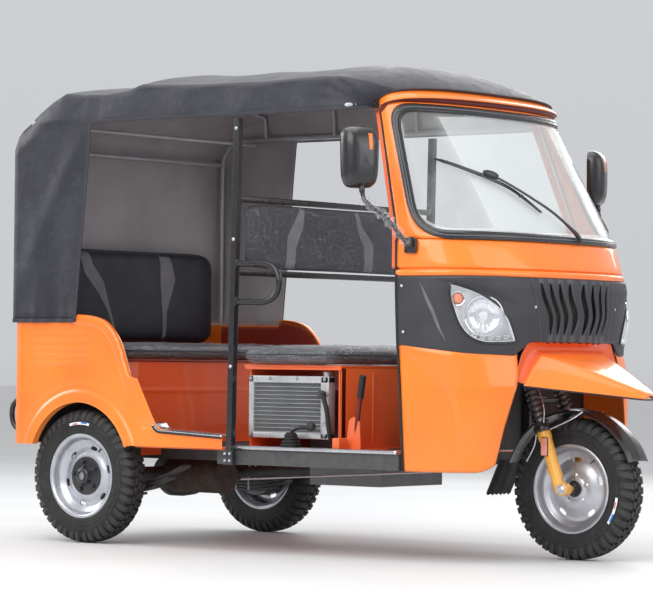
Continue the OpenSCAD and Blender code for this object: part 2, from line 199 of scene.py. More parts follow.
def tube_vf(path, r, n=12, closed=False, caps=True, flat=None, up=None):
    """Sweep of a round (or flat=(w, h) rounded) section. r may vary along the path."""
    p = np.asarray(path, float)
    m = len(p)
    r = np.broadcast_to(np.asarray(r, float), (m,))
    T = np.roll(p, -1, 0) - np.roll(p, 1, 0) if closed else np.gradient(p, axis=0)
    T /= np.maximum(np.linalg.norm(T, axis=1, keepdims=True), 1e-9)
    u = np.array(up if up is not None else [0, 0, 1.0], float)
    if abs(np.dot(u, T[0])) > 0.95:
        u = np.array([1.0, 0, 0])
    N = []
    cur = u - np.dot(u, T[0]) * T[0]
    cur /= np.linalg.norm(cur)
    for t in T:
        base = u if up is not None else cur
        cur = base - np.dot(base, t) * t
        cur /= max(np.linalg.norm(cur), 1e-9)
        N.append(cur)
    N = np.array(N)
    if closed and up is None:
        # spread the twist that parallel transport leaves
        B0 = np.cross(T[0], N[0])
        e = N[-1] - np.dot(N[-1], T[0]) * T[0]
        a = math.atan2(np.dot(e, B0), np.dot(e, N[0]))
        for i in range(m):
            w = -a * i / m
            B = np.cross(T[i], N[i])
            N[i] = N[i] * cos(w) + B * sin(w)
    B = np.cross(T, N)
    ang = np.arange(n) * 2 * pi / n
    if flat:
        w, h = flat
        c, s_ = np.cos(ang), np.sin(ang)
        cx = np.sign(c) * np.abs(c) ** 0.45 * w / 2
        cy = np.sign(s_) * np.abs(s_) ** 0.45 * h / 2
        V = p[:, None] + (cx[None, :, None] * N[:, None] + cy[None, :, None] * B[:, None]) * r[:, None, None]
    else:
        V = p[:, None] + r[:, None, None] * (np.cos(ang)[None, :, None] * N[:, None] + np.sin(ang)[None, :, None] * B[:, None])
    v = V.reshape(-1, 3)
    f = []
    for i in range(m if closed else m - 1):
        for j in range(n):
            a, b = i, (i + 1) % m
            c, d = j, (j + 1) % n
            f.append((a * n + c, a * n + d, b * n + d, b * n + c))
    if caps and not closed:
        f.append(tuple(range(n - 1, -1, -1)))
        f.append(tuple((m - 1) * n + j for j in range(n)))
    return v, [q[::-1] for q in f]


def basis(axis):
    a = np.array(axis, float)
    a /= np.linalg.norm(a)
    h = np.array([0, 0, 1.0]) if abs(a[2]) < 0.9 else np.array([1.0, 0, 0])
    u = np.cross(h, a)
    u /= np.linalg.norm(u)
    return a, u, np.cross(a, u)


def lathe_vf(prof, c, axis, n=32, closed=False, phase=0.0):
    """prof: (distance along the axis, radius) pairs. Ends at radius 0 are closed to a point."""
    a, u, w = basis(axis)
    c = np.array(c, float)
    v, idx = [], []
    for (h, r) in prof:
        if r < 1e-6:
            idx.append([len(v)] * n)
            v.append(c + a * h)
        else:
            k = len(v)
            idx.append([k + j for j in range(n)])
            for j in range(n):
                t = 2 * pi * j / n + phase
                v.append(c + a * h + r * (u * cos(t) + w * sin(t)))
    f = []
    m = len(prof)
    for i in range(m if closed else m - 1):
        A, B = idx[i], idx[(i + 1) % m]
        for j in range(n):
            q = [A[j], A[(j + 1) % n], B[(j + 1) % n], B[j]]
            q2 = []
            for x in q:
                if x not in q2:
                    q2.append(x)
            if len(q2) > 2:
                f.append(tuple(q2))
    if not closed:
        for k, i in ((0, 0), (1, m - 1)):
            if prof[i][1] > 1e-6:
                ring = idx[i]
                f.append(tuple(ring[::-1]) if k == 0 else tuple(ring))
    return np.array(v), f


def cyl_vf(a, b, r, n=20, ch=0.0):
    """Round bar from a to b with chamfered ends."""
    a, b = np.array(a, float), np.array(b, float)
    L = np.linalg.norm(b - a)
    ch = min(ch, r * 0.5, L * 0.3)
    prof = [(0, 0), (0, r - ch), (ch, r), (L - ch, r), (L, r - ch), (L, 0)] if ch > 0 else [(0, 0), (0, r), (L, r), (L, 0)]
    return lathe_vf(prof, a, b - a, n)


def hexbolt_vf(c, axis, r=6, h=4, washer=True):
    a = np.array(axis, float)
    a /= np.linalg.norm(a)
    A = Acc()
    z = 0.0
    if washer:
        A.add(lathe_vf([(0, 0), (0, r * 1.5), (1.0, r * 1.5), (1.2, 0)], c, a, 18))
        z = 1.0
    A.add(lathe_vf([(z, 0), (z, r), (z + h * 0.8, r), (z + h, r * 0.82), (z + h, 0)], c, a, 6))
    return np.concatenate(A.v), A.f


def dome_vf(c, axis, r=4, h=2.2, n=12):
    return lathe_vf([(0, 0), (0, r), (h * 0.5, r * 0.9), (h * 0.85, r * 0.55), (h, 0)], c, axis, n)


def rbox_vf(lo, hi, r=3.0, seg=2):
    """Block with rounded edges."""
    lo, hi = np.array(lo, float), np.array(hi, float)
    bm = bmesh.new()
    bmesh.ops.create_cube(bm, size=1.0)
    for x in bm.verts:
        x.co = Vector((lo + (np.array(x.co) + 0.5) * (hi - lo)).tolist())
    r = min(r, (hi - lo).min() * 0.45)
    if r > 0:
        bmesh.ops.bevel(bm, geom=list(bm.edges), offset=r, segments=seg, profile=0.5, affect="EDGES")
    bm.verts.index_update()
    v = np.array([tuple(x.co) for x in bm.verts])
    f = [tuple(x.index for x in q.verts) for q in bm.faces]
    bm.free()
    return v, f


def turn_vf(vf, R3, c=(0, 0, 0), move=(0, 0, 0)):
    v, f = vf
    c = np.array(c, float)
    return (np.asarray(v) - c) @ np.asarray(R3, float).T + c + np.array(move, float), f


def rot(axis, deg):
    return np.array(Matrix.Rotation(rad(deg), 3, axis))


def prism_vf(poly, d0, d1, plane="xz"):
    """Polygon pushed from d0 to d1 along the third axis."""
    p = np.asarray(poly, float)
    n = len(p)
    if plane == "xz":
        P = lambda d: np.stack([p[:, 0], np.full(n, float(d)), p[:, 1]], 1)
    elif plane == "xy":
        P = lambda d: np.stack([p[:, 0], p[:, 1], np.full(n, float(d))], 1)
    else:
        P = lambda d: np.stack([np.full(n, float(d)), p[:, 0], p[:, 1]], 1)
    v = np.concatenate([P(d0), P(d1)])
    f = [tuple(range(n)), tuple(range(2 * n - 1, n - 1, -1))]
    f += [(i, n + i, n + (i + 1) % n, (i + 1) % n) for i in range(n)]
    a = 0.5 * np.sum(p[:, 0] * np.roll(p[:, 1], -1) - np.roll(p[:, 0], -1) * p[:, 1])
    flip = (a > 0) == (d1 > d0)
    if plane == "xz":
        flip = not flip
    return v, ([q[::-1] for q in f] if flip else f)


def fillet(poly, r, n=5):
    """Rounds the corners of a polygon (2D)."""
    p = np.asarray(poly, float)
    m = len(p)
    rr = np.broadcast_to(np.asarray(r, float), (m,))
    out = []
    for i in range(m):
        a, b, c = p[i - 1], p[i], p[(i + 1) % m]
        u, w = a - b, c - b
        lu, lw = np.linalg.norm(u), np.linalg.norm(w)
        u, w = u / lu, w / lw
        ang = math.acos(max(-1, min(1, float(np.dot(u, w)))))
        if rr[i] <= 0 or ang > pi - 0.02:
            out.append(b)
            continue
        d = min(rr[i] / math.tan(ang / 2), lu * 0.48, lw * 0.48)
        s, e = b + u * d, b + w * d
        for k in range(n + 1):
            t = k / n
            out.append((1 - t) ** 2 * s + 2 * t * (1 - t) * b + t * t * e)
    return np.array(out)


def vnoise(p, scale, seed=0.0):
    """Smooth noise from sines, -1 to 1, for wrinkles and dents."""
    p = np.asarray(p, float) / scale
    x, y, z = p[..., 0] + seed * 1.7, p[..., 1] - seed * 2.3, p[..., 2] + seed * 0.9
    return (np.sin(1.0 * x + 1.3 * np.sin(0.7 * y + 0.4 * z)) + np.sin(1.7 * y + 1.1 * np.sin(0.9 * z + 0.6 * x) + 1.0)
            + np.sin(1.4 * z + 1.2 * np.sin(0.8 * x + 0.5 * y) + 2.0) + 0.5 * np.sin(3.1 * x + 2.3 * y - 1.9 * z)) / 3.5


# ------------------------------------------------------------ materials
SLOT = {}


def lin(r, g, b):
    return tuple(((c / 255) / 12.92 if c <= 10 else ((c / 255 + 0.055) / 1.055) ** 2.4) for c in (r, g, b)) + (1.0,)


class Mat:
    """A node material on object coordinates, which are the row's own metres."""

    def __init__(s, name, slot):
        s.m = bpy.data.materials.new(name)
        SLOT[name] = slot
        s.m.use_nodes = True
        s.t = s.m.node_tree
        s.t.nodes.clear()
        s.out = s.add("OutputMaterial")
        s.p = s.add("BsdfPrincipled")
        s.link(s.p.outputs[0], s.out.inputs["Surface"])
        s.tc = s.add("TexCoord").outputs["Object"]

    def add(s, kind, **k):
        n = s.t.nodes.new("ShaderNode" + kind)
        for a, b in k.items():
            setattr(n, a, b)
        return n

    def link(s, a, b):
        s.t.links.new(a, b)

    def put(s, socket, x):
        if isinstance(x, bpy.types.NodeSocket):
            s.link(x, socket)
        elif x is not None:
            socket.default_value = x

    def map(s, scale=(1, 1, 1), rot=(0, 0, 0), loc=(0, 0, 0)):
        n = s.add("Mapping")
        s.link(s.tc, n.inputs["Vector"])
        n.inputs["Scale"].default_value = scale
        n.inputs["Rotation"].default_value = [rad(a) for a in rot]
        n.inputs["Location"].default_value = loc
        return n.outputs[0]

    def noise(s, scale, detail=3.0, rough=0.55, dist=0.0, vec=None, color=False):
        n = s.add("TexNoise")
        s.link(vec or s.tc, n.inputs["Vector"])
        n.inputs["Scale"].default_value = scale
        n.inputs["Detail"].default_value = detail
        n.inputs["Roughness"].default_value = rough
        n.inputs["Distortion"].default_value = dist
        return n.outputs["Color" if color else "Fac"]

    def voro(s, scale, feature="F1", vec=None, rand=1.0, out="Distance"):
        n = s.add("TexVoronoi", feature=feature)
        s.link(vec or s.tc, n.inputs["Vector"])
        n.inputs["Scale"].default_value = scale
        n.inputs["Randomness"].default_value = rand
        return n.outputs[out]

    def wave(s, scale, vec=None, dirn="X", dist=0.0, detail=0.0, prof="SIN", dscale=1.0):
        n = s.add("TexWave", wave_type="BANDS", bands_direction=dirn, wave_profile=prof)
        s.link(vec or s.tc, n.inputs["Vector"])
        n.inputs["Scale"].default_value = scale
        n.inputs["Distortion"].default_value = dist
        n.inputs["Detail"].default_value = detail
        n.inputs["Detail Scale"].default_value = dscale
        return n.outputs["Fac"]

    def ramp(s, fac, stops, interp="LINEAR"):
        n = s.add("ValToRGB")
        s.link(fac, n.inputs["Fac"])
        e = n.color_ramp.elements
        n.color_ramp.interpolation = interp
        while len(e) < len(stops):
            e.new(0.5)
        for x, (pos, col) in zip(e, stops):
            x.position = pos
            x.color = col if isinstance(col, tuple) else (col, col, col, 1)
        return n.outputs["Color"]

    def mix(s, fac, a, b, blend="MIX"):
        n = s.add("Mix", data_type="RGBA", blend_type=blend)
        s.put(n.inputs["Factor"], fac)
        s.put(n.inputs[6], a)
        s.put(n.inputs[7], b)
        return n.outputs[2]

    def math(s, op, a, b=None, c=None, clamp=False):
        n = s.add("Math", operation=op, use_clamp=clamp)
        s.put(n.inputs[0], a)
        s.put(n.inputs[1], b)
        s.put(n.inputs[2], c)
        return n.outputs[0]

    def axis(s, k, src=None):
        n = s.add("SeparateXYZ")
        s.link(src or s.tc, n.inputs[0])
        return n.outputs["XYZ".index(k)]

    def range(s, x, a, b, c=0.0, d=1.0):
        n = s.add("MapRange")
        s.put(n.inputs["Value"], x)
        for k, v in (("From Min", a), ("From Max", b), ("To Min", c), ("To Max", d)):
            n.inputs[k].default_value = v
        return n.outputs[0]

    def bump(s, height, strength=0.3, dist=0.001, normal=None):
        n = s.add("Bump")
        s.link(height, n.inputs["Height"])
        n.inputs["Strength"].default_value = strength
        n.inputs["Distance"].default_value = dist
        if normal is not None:
            s.link(normal, n.inputs["Normal"])
        return n.outputs[0]

    def edges(s, lo=0.52, hi=0.6):
        g = s.add("NewGeometry")
        return s.range(g.outputs["Pointiness"], lo, hi)

    def set(s, **k):
        names = dict(color="Base Color", rough="Roughness", metal="Metallic", spec="Specular IOR Level", ior="IOR", trans="Transmission Weight",
                     coat="Coat Weight", coat_rough="Coat Roughness", sheen="Sheen Weight", sheen_rough="Sheen Roughness", normal="Normal",
                     alpha="Alpha", emit="Emission Color", emit_s="Emission Strength", sss="Subsurface Weight", aniso="Anisotropic", coat_normal="Coat Normal")
        for a, b in k.items():
            s.put(s.p.inputs[names[a]], b)
        return s


def paint(name, slot, c0, c1, rough=0.34, coat=0.6, dust=0.10, peel=0.05):
    m = Mat(name, slot)
    base = m.ramp(m.noise(3.0, 2), [(0.3, c0), (0.7, c1)])
    z = m.axis("Z")
    low = m.range(z, 0.30, 0.75, 1.0, 0.0)
    speck = m.ramp(m.noise(45, 5, 0.7), [(0.45, 0.0), (0.75, 1.0)])
    base = m.mix(m.math("MULTIPLY", m.math("MULTIPLY", low, speck), dust), base, lin(170, 150, 125))
    base = m.mix(m.math("MULTIPLY", m.edges(0.53, 0.62), 0.14), base, lin(255, 205, 150))
    rg = m.range(m.noise(18, 4), 0.3, 0.7, rough - 0.05, rough + 0.08)
    nb = m.bump(m.noise(260, 2), peel, 0.0006)
    m.set(color=base, rough=rg, coat=coat, coat_rough=0.06, normal=nb, coat_normal=m.bump(m.noise(90, 2), 0.02, 0.0006), spec=0.5)
    return m.m


def satin(name, slot, c, rough=0.45, grain=400, gs=0.12, edge=lin(120, 120, 125), ea=0.25, metal=0.0, coat=0.0, dust=0.0):
    m = Mat(name, slot)
    c2 = tuple(min(1, x * 1.35) for x in c[:3]) + (1,)
    base = m.ramp(m.noise(7, 4), [(0.3, c), (0.75, c2)])
    if dust:
        base = m.mix(m.math("MULTIPLY", m.ramp(m.noise(28, 6, 0.7), [(0.4, 0.0), (0.8, 1.0)]), dust), base, lin(150, 140, 125))
    base = m.mix(m.math("MULTIPLY", m.edges(0.53, 0.64), ea), base, edge)
    rg = m.range(m.noise(40, 4), 0.3, 0.7, rough - 0.07, rough + 0.1)
    m.set(color=base, rough=rg, metal=metal, coat=coat, coat_rough=0.15, normal=m.bump(m.noise(grain, 3), gs, 0.0006))
    return m.m


ORANGE = paint("orange_gloss", "orange_paint", lin(250, 116, 18), lin(255, 132, 30))
# ORANGE_SHADED: a darker, redder copy of the orange paint, painted shade for orange faces that lie in shadow
ORANGE_SHADED = paint("orange_shade", "orange_paint", lin(226, 82, 22), lin(236, 94, 28), rough=0.42, coat=0.35)
# deep maroon copy of the orange paint: painted shade for the inner faces of the rear body and the passenger seat's
# front lip
ORANGE_DEEP_SHADE = paint("maroon_shade", "orange_paint", lin(120, 34, 26), lin(136, 40, 28), rough=0.4, coat=0.3)
BLACKP = satin("black_gloss", "black_paint", lin(20, 20, 23), rough=0.3, grain=220, gs=0.05, coat=0.35)
BLACKD = satin("black_dusty", "black_paint", lin(22, 22, 24), rough=0.55, grain=160, gs=0.15, dust=0.18)
STEEL = satin("tube_zinc", "tube_steel", lin(150, 152, 156), rough=0.38, grain=300, gs=0.06, edge=lin(215, 215, 220), ea=0.3, metal=0.75)
BRIGHT = satin("bright_zinc", "tube_steel", lin(190, 192, 196), rough=0.25, grain=300, gs=0.04, edge=lin(235, 235, 240), ea=0.3, metal=0.95)
BLUED = satin("dark_bolt", "tube_steel", lin(48, 50, 56), rough=0.35, grain=300, gs=0.06, metal=0.7)
BRASS = satin("brass_nut", "tube_steel", lin(200, 160, 90), rough=0.3, grain=300, gs=0.05, metal=0.9, edge=lin(240, 215, 150))
CHROME = satin("chrome", "lamp_lens", lin(225, 228, 235), rough=0.06, grain=120, gs=0.02, metal=1.0, edge=lin(250, 250, 250), ea=0.2)
INPLASTIC = satin("inner_plastic", "interior_plastic", lin(32, 32, 35), rough=0.55, grain=900, gs=0.3)
RUBBER = satin("plain_rubber", "rubber", lin(24, 24, 26), rough=0.62, grain=500, gs=0.25)
ENGINE = satin("cast_engine", "engine_metal", lin(112, 114, 116), rough=0.5, grain=350, gs=0.5, metal=0.6, dust=0.12)
EXHAUST = satin("exhaust_black", "engine_metal", lin(34, 32, 32), rough=0.6, grain=350, gs=0.3, dust=0.2, edge=lin(120, 80, 60))


def mask_mat():
    m = Mat("mask_textured", "mask_plastic")
    base = m.ramp(m.noise(5, 3), [(0.3, lin(46, 46, 52)), (0.7, lin(56, 56, 62))])
    base = m.mix(m.math("MULTIPLY", m.edges(0.53, 0.62), 0.3), base, lin(120, 120, 128))
    grain = m.bump(m.voro(1500, "SMOOTH_F1"), 0.25, 0.0004)
    m.set(color=base, rough=m.range(m.noise(60, 4), 0.3, 0.7, 0.42, 0.52), normal=grain, spec=0.45)
    return m.m


def swoosh_mat():
    m = Mat("swoosh_silver", "mask_plastic")
    base = m.ramp(m.noise(30, 3), [(0.3, lin(96, 96, 104)), (0.7, lin(116, 116, 124))])
    m.set(color=base, rough=0.35, metal=0.35, normal=m.bump(m.noise(700, 2), 0.08, 0.0004))
    return m.m


def canopy_mat():
    """Coated vinyl: woven backing showing through, near black outside and a pale grey lining inside."""
    m = Mat("canopy_vinyl", "canopy_vinyl")
    g = m.add("NewGeometry").outputs["Backfacing"]
    outc = m.ramp(m.noise(4, 5, 0.6), [(0.3, lin(31, 32, 40)), (0.72, lin(45, 46, 56))])
    outc = m.mix(m.math("MULTIPLY", m.ramp(m.noise(22, 6, 0.7, 1.0), [(0.5, 0.0), (0.8, 1.0)]), 0.14), outc, lin(110, 110, 118))
    inc = m.ramp(m.noise(3.2, 5, 0.6), [(0.25, lin(116, 110, 113)), (0.75, lin(146, 140, 143))])
    wx = m.wave(420, m.map(), "X", 0.3)
    wy = m.wave(420, m.map(), "Y", 0.3)
    wz = m.wave(420, m.map(), "Z", 0.3)
    weave = m.math("ADD", m.math("MAXIMUM", wx, wy), wz)
    nb = m.bump(weave, 0.06, 0.0005)
    nb = m.bump(m.noise(38, 5, 0.6, 0.6), 0.22, 0.004, nb)
    nb = m.bump(m.noise(7, 3, 0.5, 1.2), 0.3, 0.012, nb)
    m.set(color=m.mix(g, outc, inc), rough=m.range(m.noise(15, 4), 0.3, 0.7, 0.42, 0.58), normal=nb, sheen=0.15, sheen_rough=0.4, spec=0.4)
    return m.m


def leatherette(name, c0, c1, rough=0.36, slot="seat_vinyl", coat=0.0):
    m = Mat(name, slot)
    base = m.ramp(m.noise(9, 4), [(0.3, c0), (0.7, c1)])
    cells = m.voro(420, "DISTANCE_TO_EDGE")
    nb = m.bump(m.ramp(cells, [(0.0, 0.0), (0.12, 1.0)]), 0.3, 0.0004)
    nb = m.bump(m.noise(40, 4, 0.6, 0.8), 0.25, 0.003, nb)
    m.set(color=base, rough=m.range(m.noise(26, 4), 0.3, 0.7, rough - 0.05, rough + 0.1), normal=nb, coat=coat, coat_rough=0.15)
    return m.m


def film_mat(name="clear_film", amount=0.2):
    """Thin protective plastic film: almost clear, with crinkles; the white where it turns away and along the crinkles
    is painted reflection.
    """
    m = Mat(name, "window_glass")
    cr = m.noise(60, 5, 0.65, 2.2)
    cr2 = m.voro(46, "DISTANCE_TO_EDGE", m.map((1, 1, 1)))
    n1 = m.bump(cr, 0.9, 0.008)
    n1 = m.bump(cr2, 0.6, 0.006, n1)
    lw = m.add("LayerWeight")
    lw.inputs["Blend"].default_value = 0.35
    m.link(n1, lw.inputs["Normal"])
    a = m.range(lw.outputs["Facing"], 0.05, 1.0, amount * 0.25, min(1, amount * 2.6))
    a = m.math("ADD", a, m.math("MULTIPLY", m.ramp(cr2, [(0.0, 1.0), (0.09, 0.0)]), amount * 2.6), clamp=True)
    a = m.math("ADD", a, m.math("MULTIPLY", m.ramp(cr, [(0.55, 0.0), (0.75, 1.0)]), amount * 1.6), clamp=True)
    m.set(color=(0.80, 0.82, 0.86, 1), rough=0.16, normal=n1, alpha=a, spec=1.0, ior=1.5)
    return m.m


def glass_mat(name, tint=(0.9, 0.95, 0.95, 1), a0=0.06, a1=0.75, rough=0.02, slot="window_glass"):
    m = Mat(name, slot)
    # the pale tint turns opaque towards grazing angles: painted reflection
    lw = m.add("LayerWeight")
    lw.inputs["Blend"].default_value = 0.25
    sm = m.ramp(m.noise(5, 5, 0.6, 1.5), [(0.45, 0.0), (0.8, 0.06)])
    a = m.math("ADD", m.range(lw.outputs["Fresnel"], 0.0, 1.0, a0, a1), sm, clamp=True)
    m.set(color=tint, rough=m.range(m.noise(8, 4), 0.3, 0.7, rough, rough + 0.02), alpha=a, spec=0.9, ior=1.5, normal=m.bump(m.noise(2, 2), 0.04, 0.01))
    return m.m


def tyre_mat():
    m = Mat("tyre_rubber", "tyre")
    base = m.ramp(m.noise(14, 5, 0.65), [(0.3, lin(24, 24, 26)), (0.75, lin(44, 43, 44))])
    base = m.mix(m.math("MULTIPLY", m.ramp(m.noise(50, 6, 0.7), [(0.5, 0.0), (0.85, 1.0)]), 0.16), base, lin(120, 112, 100))
    base = m.mix(m.math("MULTIPLY", m.edges(0.52, 0.62), 0.25), base, lin(90, 90, 92))
    m.set(color=base, rough=m.range(m.noise(30, 4), 0.3, 0.7, 0.5, 0.7), normal=m.bump(m.noise(420, 4), 0.22, 0.0006), spec=0.4)
    return m.m


def rim_mat():
    m = Mat("rim_silver", "rim_steel")
    base = m.ramp(m.noise(12, 4), [(0.3, lin(176, 179, 186)), (0.7, lin(200, 202, 208))])
    base = m.mix(m.math("MULTIPLY", m.ramp(m.noise(36, 6, 0.7), [(0.5, 0.0), (0.85, 1.0)]), 0.2), base, lin(120, 116, 110))
    m.set(color=base, rough=m.range(m.noise(40, 4), 0.3, 0.7, 0.26, 0.4), metal=0.8, normal=m.bump(m.noise(420, 3), 0.06, 0.0005))
    return m.m


MASK, SWOOSH, VINYL = mask_mat(), swoosh_mat(), canopy_mat()
SEAT = leatherette("seat_dark", lin(34, 34, 44), lin(48, 48, 60))
SEATLITE = leatherette("seat_stripe", lin(112, 110, 114), lin(130, 128, 132))
SEATGREY = leatherette("seat_panel", lin(66, 66, 74), lin(82, 82, 90))
FILM, FILM2 = film_mat("clear_film", 0.10), film_mat("clear_film_tight", 0.055)
GLASS = glass_mat("windscreen_clear", (0.9, 0.95, 0.95, 1), 0.03, 0.5)
LENS = glass_mat("lamp_clear", (0.95, 0.97, 1, 1), 0.06, 0.6, slot="lamp_lens")
TYRE, RIM = tyre_mat(), rim_mat()
YELLOW = paint("fork_yellow", "fork_paint", lin(240, 170, 60), lin(248, 184, 78), rough=0.32, dust=0.05)
# dark maroon copy of the orange paint: painted shade under the visor's lip and on the doorway lever stem
SHADE = satin("orange_underside_shade", "orange_paint", lin(96, 26, 20), rough=0.4, grain=260, gs=0.05)


def colour_mat(name, slot, c, rough=0.3, coat=0.5, emit=0.0):
    m = Mat(name, slot)
    base = m.ramp(m.noise(40, 3), [(0.3, c), (0.7, tuple(min(1, x * 1.25) for x in c[:3]) + (1,))])
    m.set(color=base, rough=rough, coat=coat, coat_rough=0.08, normal=m.bump(m.voro(260, "F1", rand=0.2), 0.25, 0.0008))
    if emit:
        m.set(emit=c, emit_s=emit)
    return m.m


AMBER = colour_mat("amber_lens", "lamp_lens", lin(230, 110, 30))
REDLENS = colour_mat("red_lens", "red_lens", lin(170, 14, 16))
WHITELENS = colour_mat("white_lens", "lamp_lens", lin(226, 228, 232), 0.2)
PINK = colour_mat("reflector_pink", "red_lens", lin(226, 150, 130), 0.35)
MIRROR = satin("mirror_silver", "window_glass", lin(232, 236, 240), rough=0.03, grain=60, gs=0.01, metal=1.0, ea=0.0)
STICK_W = colour_mat("stripe_white", "rubber", lin(225, 228, 230), 0.45, 0.1)
STICK_B = colour_mat("stripe_blue", "rubber", lin(40, 110, 200), 0.45, 0.1)
STICK_R = colour_mat("stripe_red", "rubber", lin(200, 60, 50), 0.45, 0.1)


def radiator_mat():
    m = Mat("radiator_fins", "radiator_alloy")
    base = m.ramp(m.noise(60, 4), [(0.3, lin(84, 88, 92)), (0.7, lin(112, 116, 120))])
    m.set(color=base, rough=0.4, metal=0.75, normal=m.bump(m.noise(300, 2), 0.2, 0.0006))
    return m.m


RADI = radiator_mat()
BASE = dict(orange_paint=ORANGE, black_paint=BLACKP, mask_plastic=MASK, canopy_vinyl=VINYL, seat_vinyl=SEAT, tube_steel=STEEL, rim_steel=RIM,
            tyre=TYRE, rubber=RUBBER, fork_paint=YELLOW, window_glass=GLASS, lamp_lens=WHITELENS, red_lens=REDLENS, engine_metal=ENGINE,
            radiator_alloy=RADI, interior_plastic=INPLASTIC)
node_mat = {n["name"]: n.get("material") for n in frame["record"].get("nodes", []) if isinstance(n, dict)} if isinstance(frame["record"].get("nodes"), list) else {}


# ------------------------------------------------------------ camera, light, floor
az, pit, rol = rad(38.32), rad(1.09), rad(0.60)
cd = np.array([-sin(az) * cos(pit), cos(az) * cos(pit), sin(pit)])
cr = np.array([cos(az), sin(az), 0.0])
cu = np.cross(cr, cd)
r2, u2 = cr * cos(rol) + cu * sin(rol), -cr * sin(rol) + cu * cos(rol)
cam = bpy.data.objects.new("camera", bpy.data.cameras.new("camera"))
scene.collection.objects.link(cam)
cam.data.sensor_width = 36
cam.data.sensor_fit = "HORIZONTAL"
cam.data.lens = 3095.15 / 653 * 36
cam.data.clip_start, cam.data.clip_end = 0.1, 200
loc = rows([8309.81, -9573.37, 732.35])[0]
cam.matrix_world = Matrix(((r2[0], u2[0], -cd[0], loc[0]), (r2[1], u2[1], -cd[1], loc[1]), (r2[2], u2[2], -cd[2], loc[2]), (0, 0, 0, 1)))
scene.camera = cam
scene.view_settings.view_transform = "Standard"
scene.view_settings.look = "None"
scene.view_settings.exposure = 0.0
scene.view_settings.gamma = 1.0

world = bpy.data.worlds.new("studio")
scene.world = world
world.use_nodes = True
wt = world.node_tree
bg = wt.nodes["Background"]
wc = wt.nodes.new("ShaderNodeTexCoord")
ws = wt.nodes.new("ShaderNodeSeparateXYZ")
wr = wt.nodes.new("ShaderNodeValToRGB")
wt.links.new(wc.outputs["Generated"], ws.inputs[0])
wm = wt.nodes.new("ShaderNodeMapRange")
wm.inputs["From Min"].default_value, wm.inputs["From Max"].default_value = -1.0, 1.0
wt.links.new(ws.outputs[2], wm.inputs["Value"])
wt.links.new(wm.outputs[0], wr.inputs["Fac"])
we = wr.color_ramp.elements
we[0].position, we[0].color = 0.46, (0.50, 0.51, 0.52, 1)
we[1].position, we[1].color = 0.50, (0.83, 0.85, 0.88, 1)
e3 = we.new(0.62); e3.color = (0.92, 0.94, 0.98, 1)
e4 = we.new(1.0); e4.color = (1.0, 1.0, 1.0, 1)
wt.links.new(wr.outputs[0], bg.inputs["Color"])
bg.inputs["Strength"].default_value = 0.70


def area(name, at, to, size, watts, col=(1, 1, 1)):
    l = bpy.data.lights.new(name, "AREA")
    l.shape, l.size, l.size_y, l.energy, l.color = "RECTANGLE", size[0], size[1], watts, col
    o = bpy.data.objects.new(name, l)
    scene.collection.objects.link(o)
    o.location = at
    o.rotation_mode = "QUATERNION"
    o.rotation_quaternion = (Vector(to) - Vector(at)).to_track_quat("-Z", "Y")
    return o


area("key", (1.5, -6.5, 4.6), (0.2, 0, 0.8), (6.5, 5.0), 360, (1.0, 0.99, 0.97))
area("top", (-0.4, -0.6, 6.5), (0, 0, 0.8), (7.0, 6.0), 270)
area("front", (7.0, 1.0, 3.4), (0.8, 0, 0.8), (6.0, 4.0), 120)
area("far", (-2.0, 6.5, 4.0), (0, 0, 0.9), (5.0, 3.0), 160)
area("rear", (-6.5, -2.0, 3.4), (-0.8, 0, 0.9), (3.5, 3.0), 140)

fm_ = Mat("studio_floor", "rubber")
fm_.set(color=fm_.ramp(fm_.noise(1.2, 5), [(0.3, lin(206, 207, 208)), (0.7, lin(214, 215, 216))]), rough=0.55, normal=fm_.bump(fm_.noise(140, 4), 0.1, 0.001))
fb = bmesh.new()
bmesh.ops.create_grid(fb, x_segments=24, y_segments=24, size=45)
fme = bpy.data.meshes.new("floor")
fb.to_mesh(fme)
fb.free()
fme.materials.append(fm_.m)
floor = bpy.data.objects.new("floor", fme)
floor.location = (0, 0, -0.0005)
scene.collection.objects.link(floor)

# every CAD node gets its slot's finished material first
PARTS = {p["node"]: p["material_slot"] for p in frame["record"]["subparts"]}
SPECIAL = dict(leaf_springs=BLACKD, chassis_rails=BLACKD, cross_members=BLACKD, rear_axle=BLACKD, drive_shaft=BLACKD, muffler=EXHAUST)
for nm, o in frame["nodes"].items():
    mt = SPECIAL.get(nm, BASE[PARTS[nm]])
    if not o.data.materials:
        o.data.materials.append(mt)
    for k in range(len(o.data.materials)):
        o.data.materials[k] = mt
    for s_ in o.material_slots:
        s_.material = mt


# ------------------------------------------------------------ cab form
CAB = np.array([[325, 1573, 588, 1950], [640, 1560, 595, 1955], [760, 1553, 598, 1928], [800, 1551, 600, 1930], [900, 1548, 602, 1940],
                [1000, 1545, 603, 1936], [1062, 1545, 603, 1920], [1190, 1545, 603, 1862], [1680, 1394, 520, 1568], [1780, 1363, 503, 1508]], float)


def cab(t, z, off=0.0):
    t, z, off = np.broadcast_arrays(np.asarray(t, float), np.asarray(z, float), np.asarray(off, float))
    x0, W, xn = (np.interp(z, CAB[:, 0], CAB[:, k]) for k in (1, 2, 3))
    c = np.maximum(0, np.cos(np.radians(t))) ** 0.8
    s = np.sin(np.radians(t))
    s = np.sign(s) * np.abs(s) ** 0.8
    return np.stack([x0 + (xn - x0 - off) * c, (W - off) * s, z], -1)


def mask_low(t):
    a = np.abs(np.asarray(t, float))
    return np.where(a > 45, 751 + 31 * (np.clip(a - 45, 0, 90) / 45) ** 1.5, np.where(a > 30, 751, np.where(a > 22, 751 + 49 * (30 - a) / 8, 800)))


def sm(x, a, b):
    x = np.clip((np.asarray(x, float) - a) / (b - a), 0, 1)
    return x * x * (3 - 2 * x)


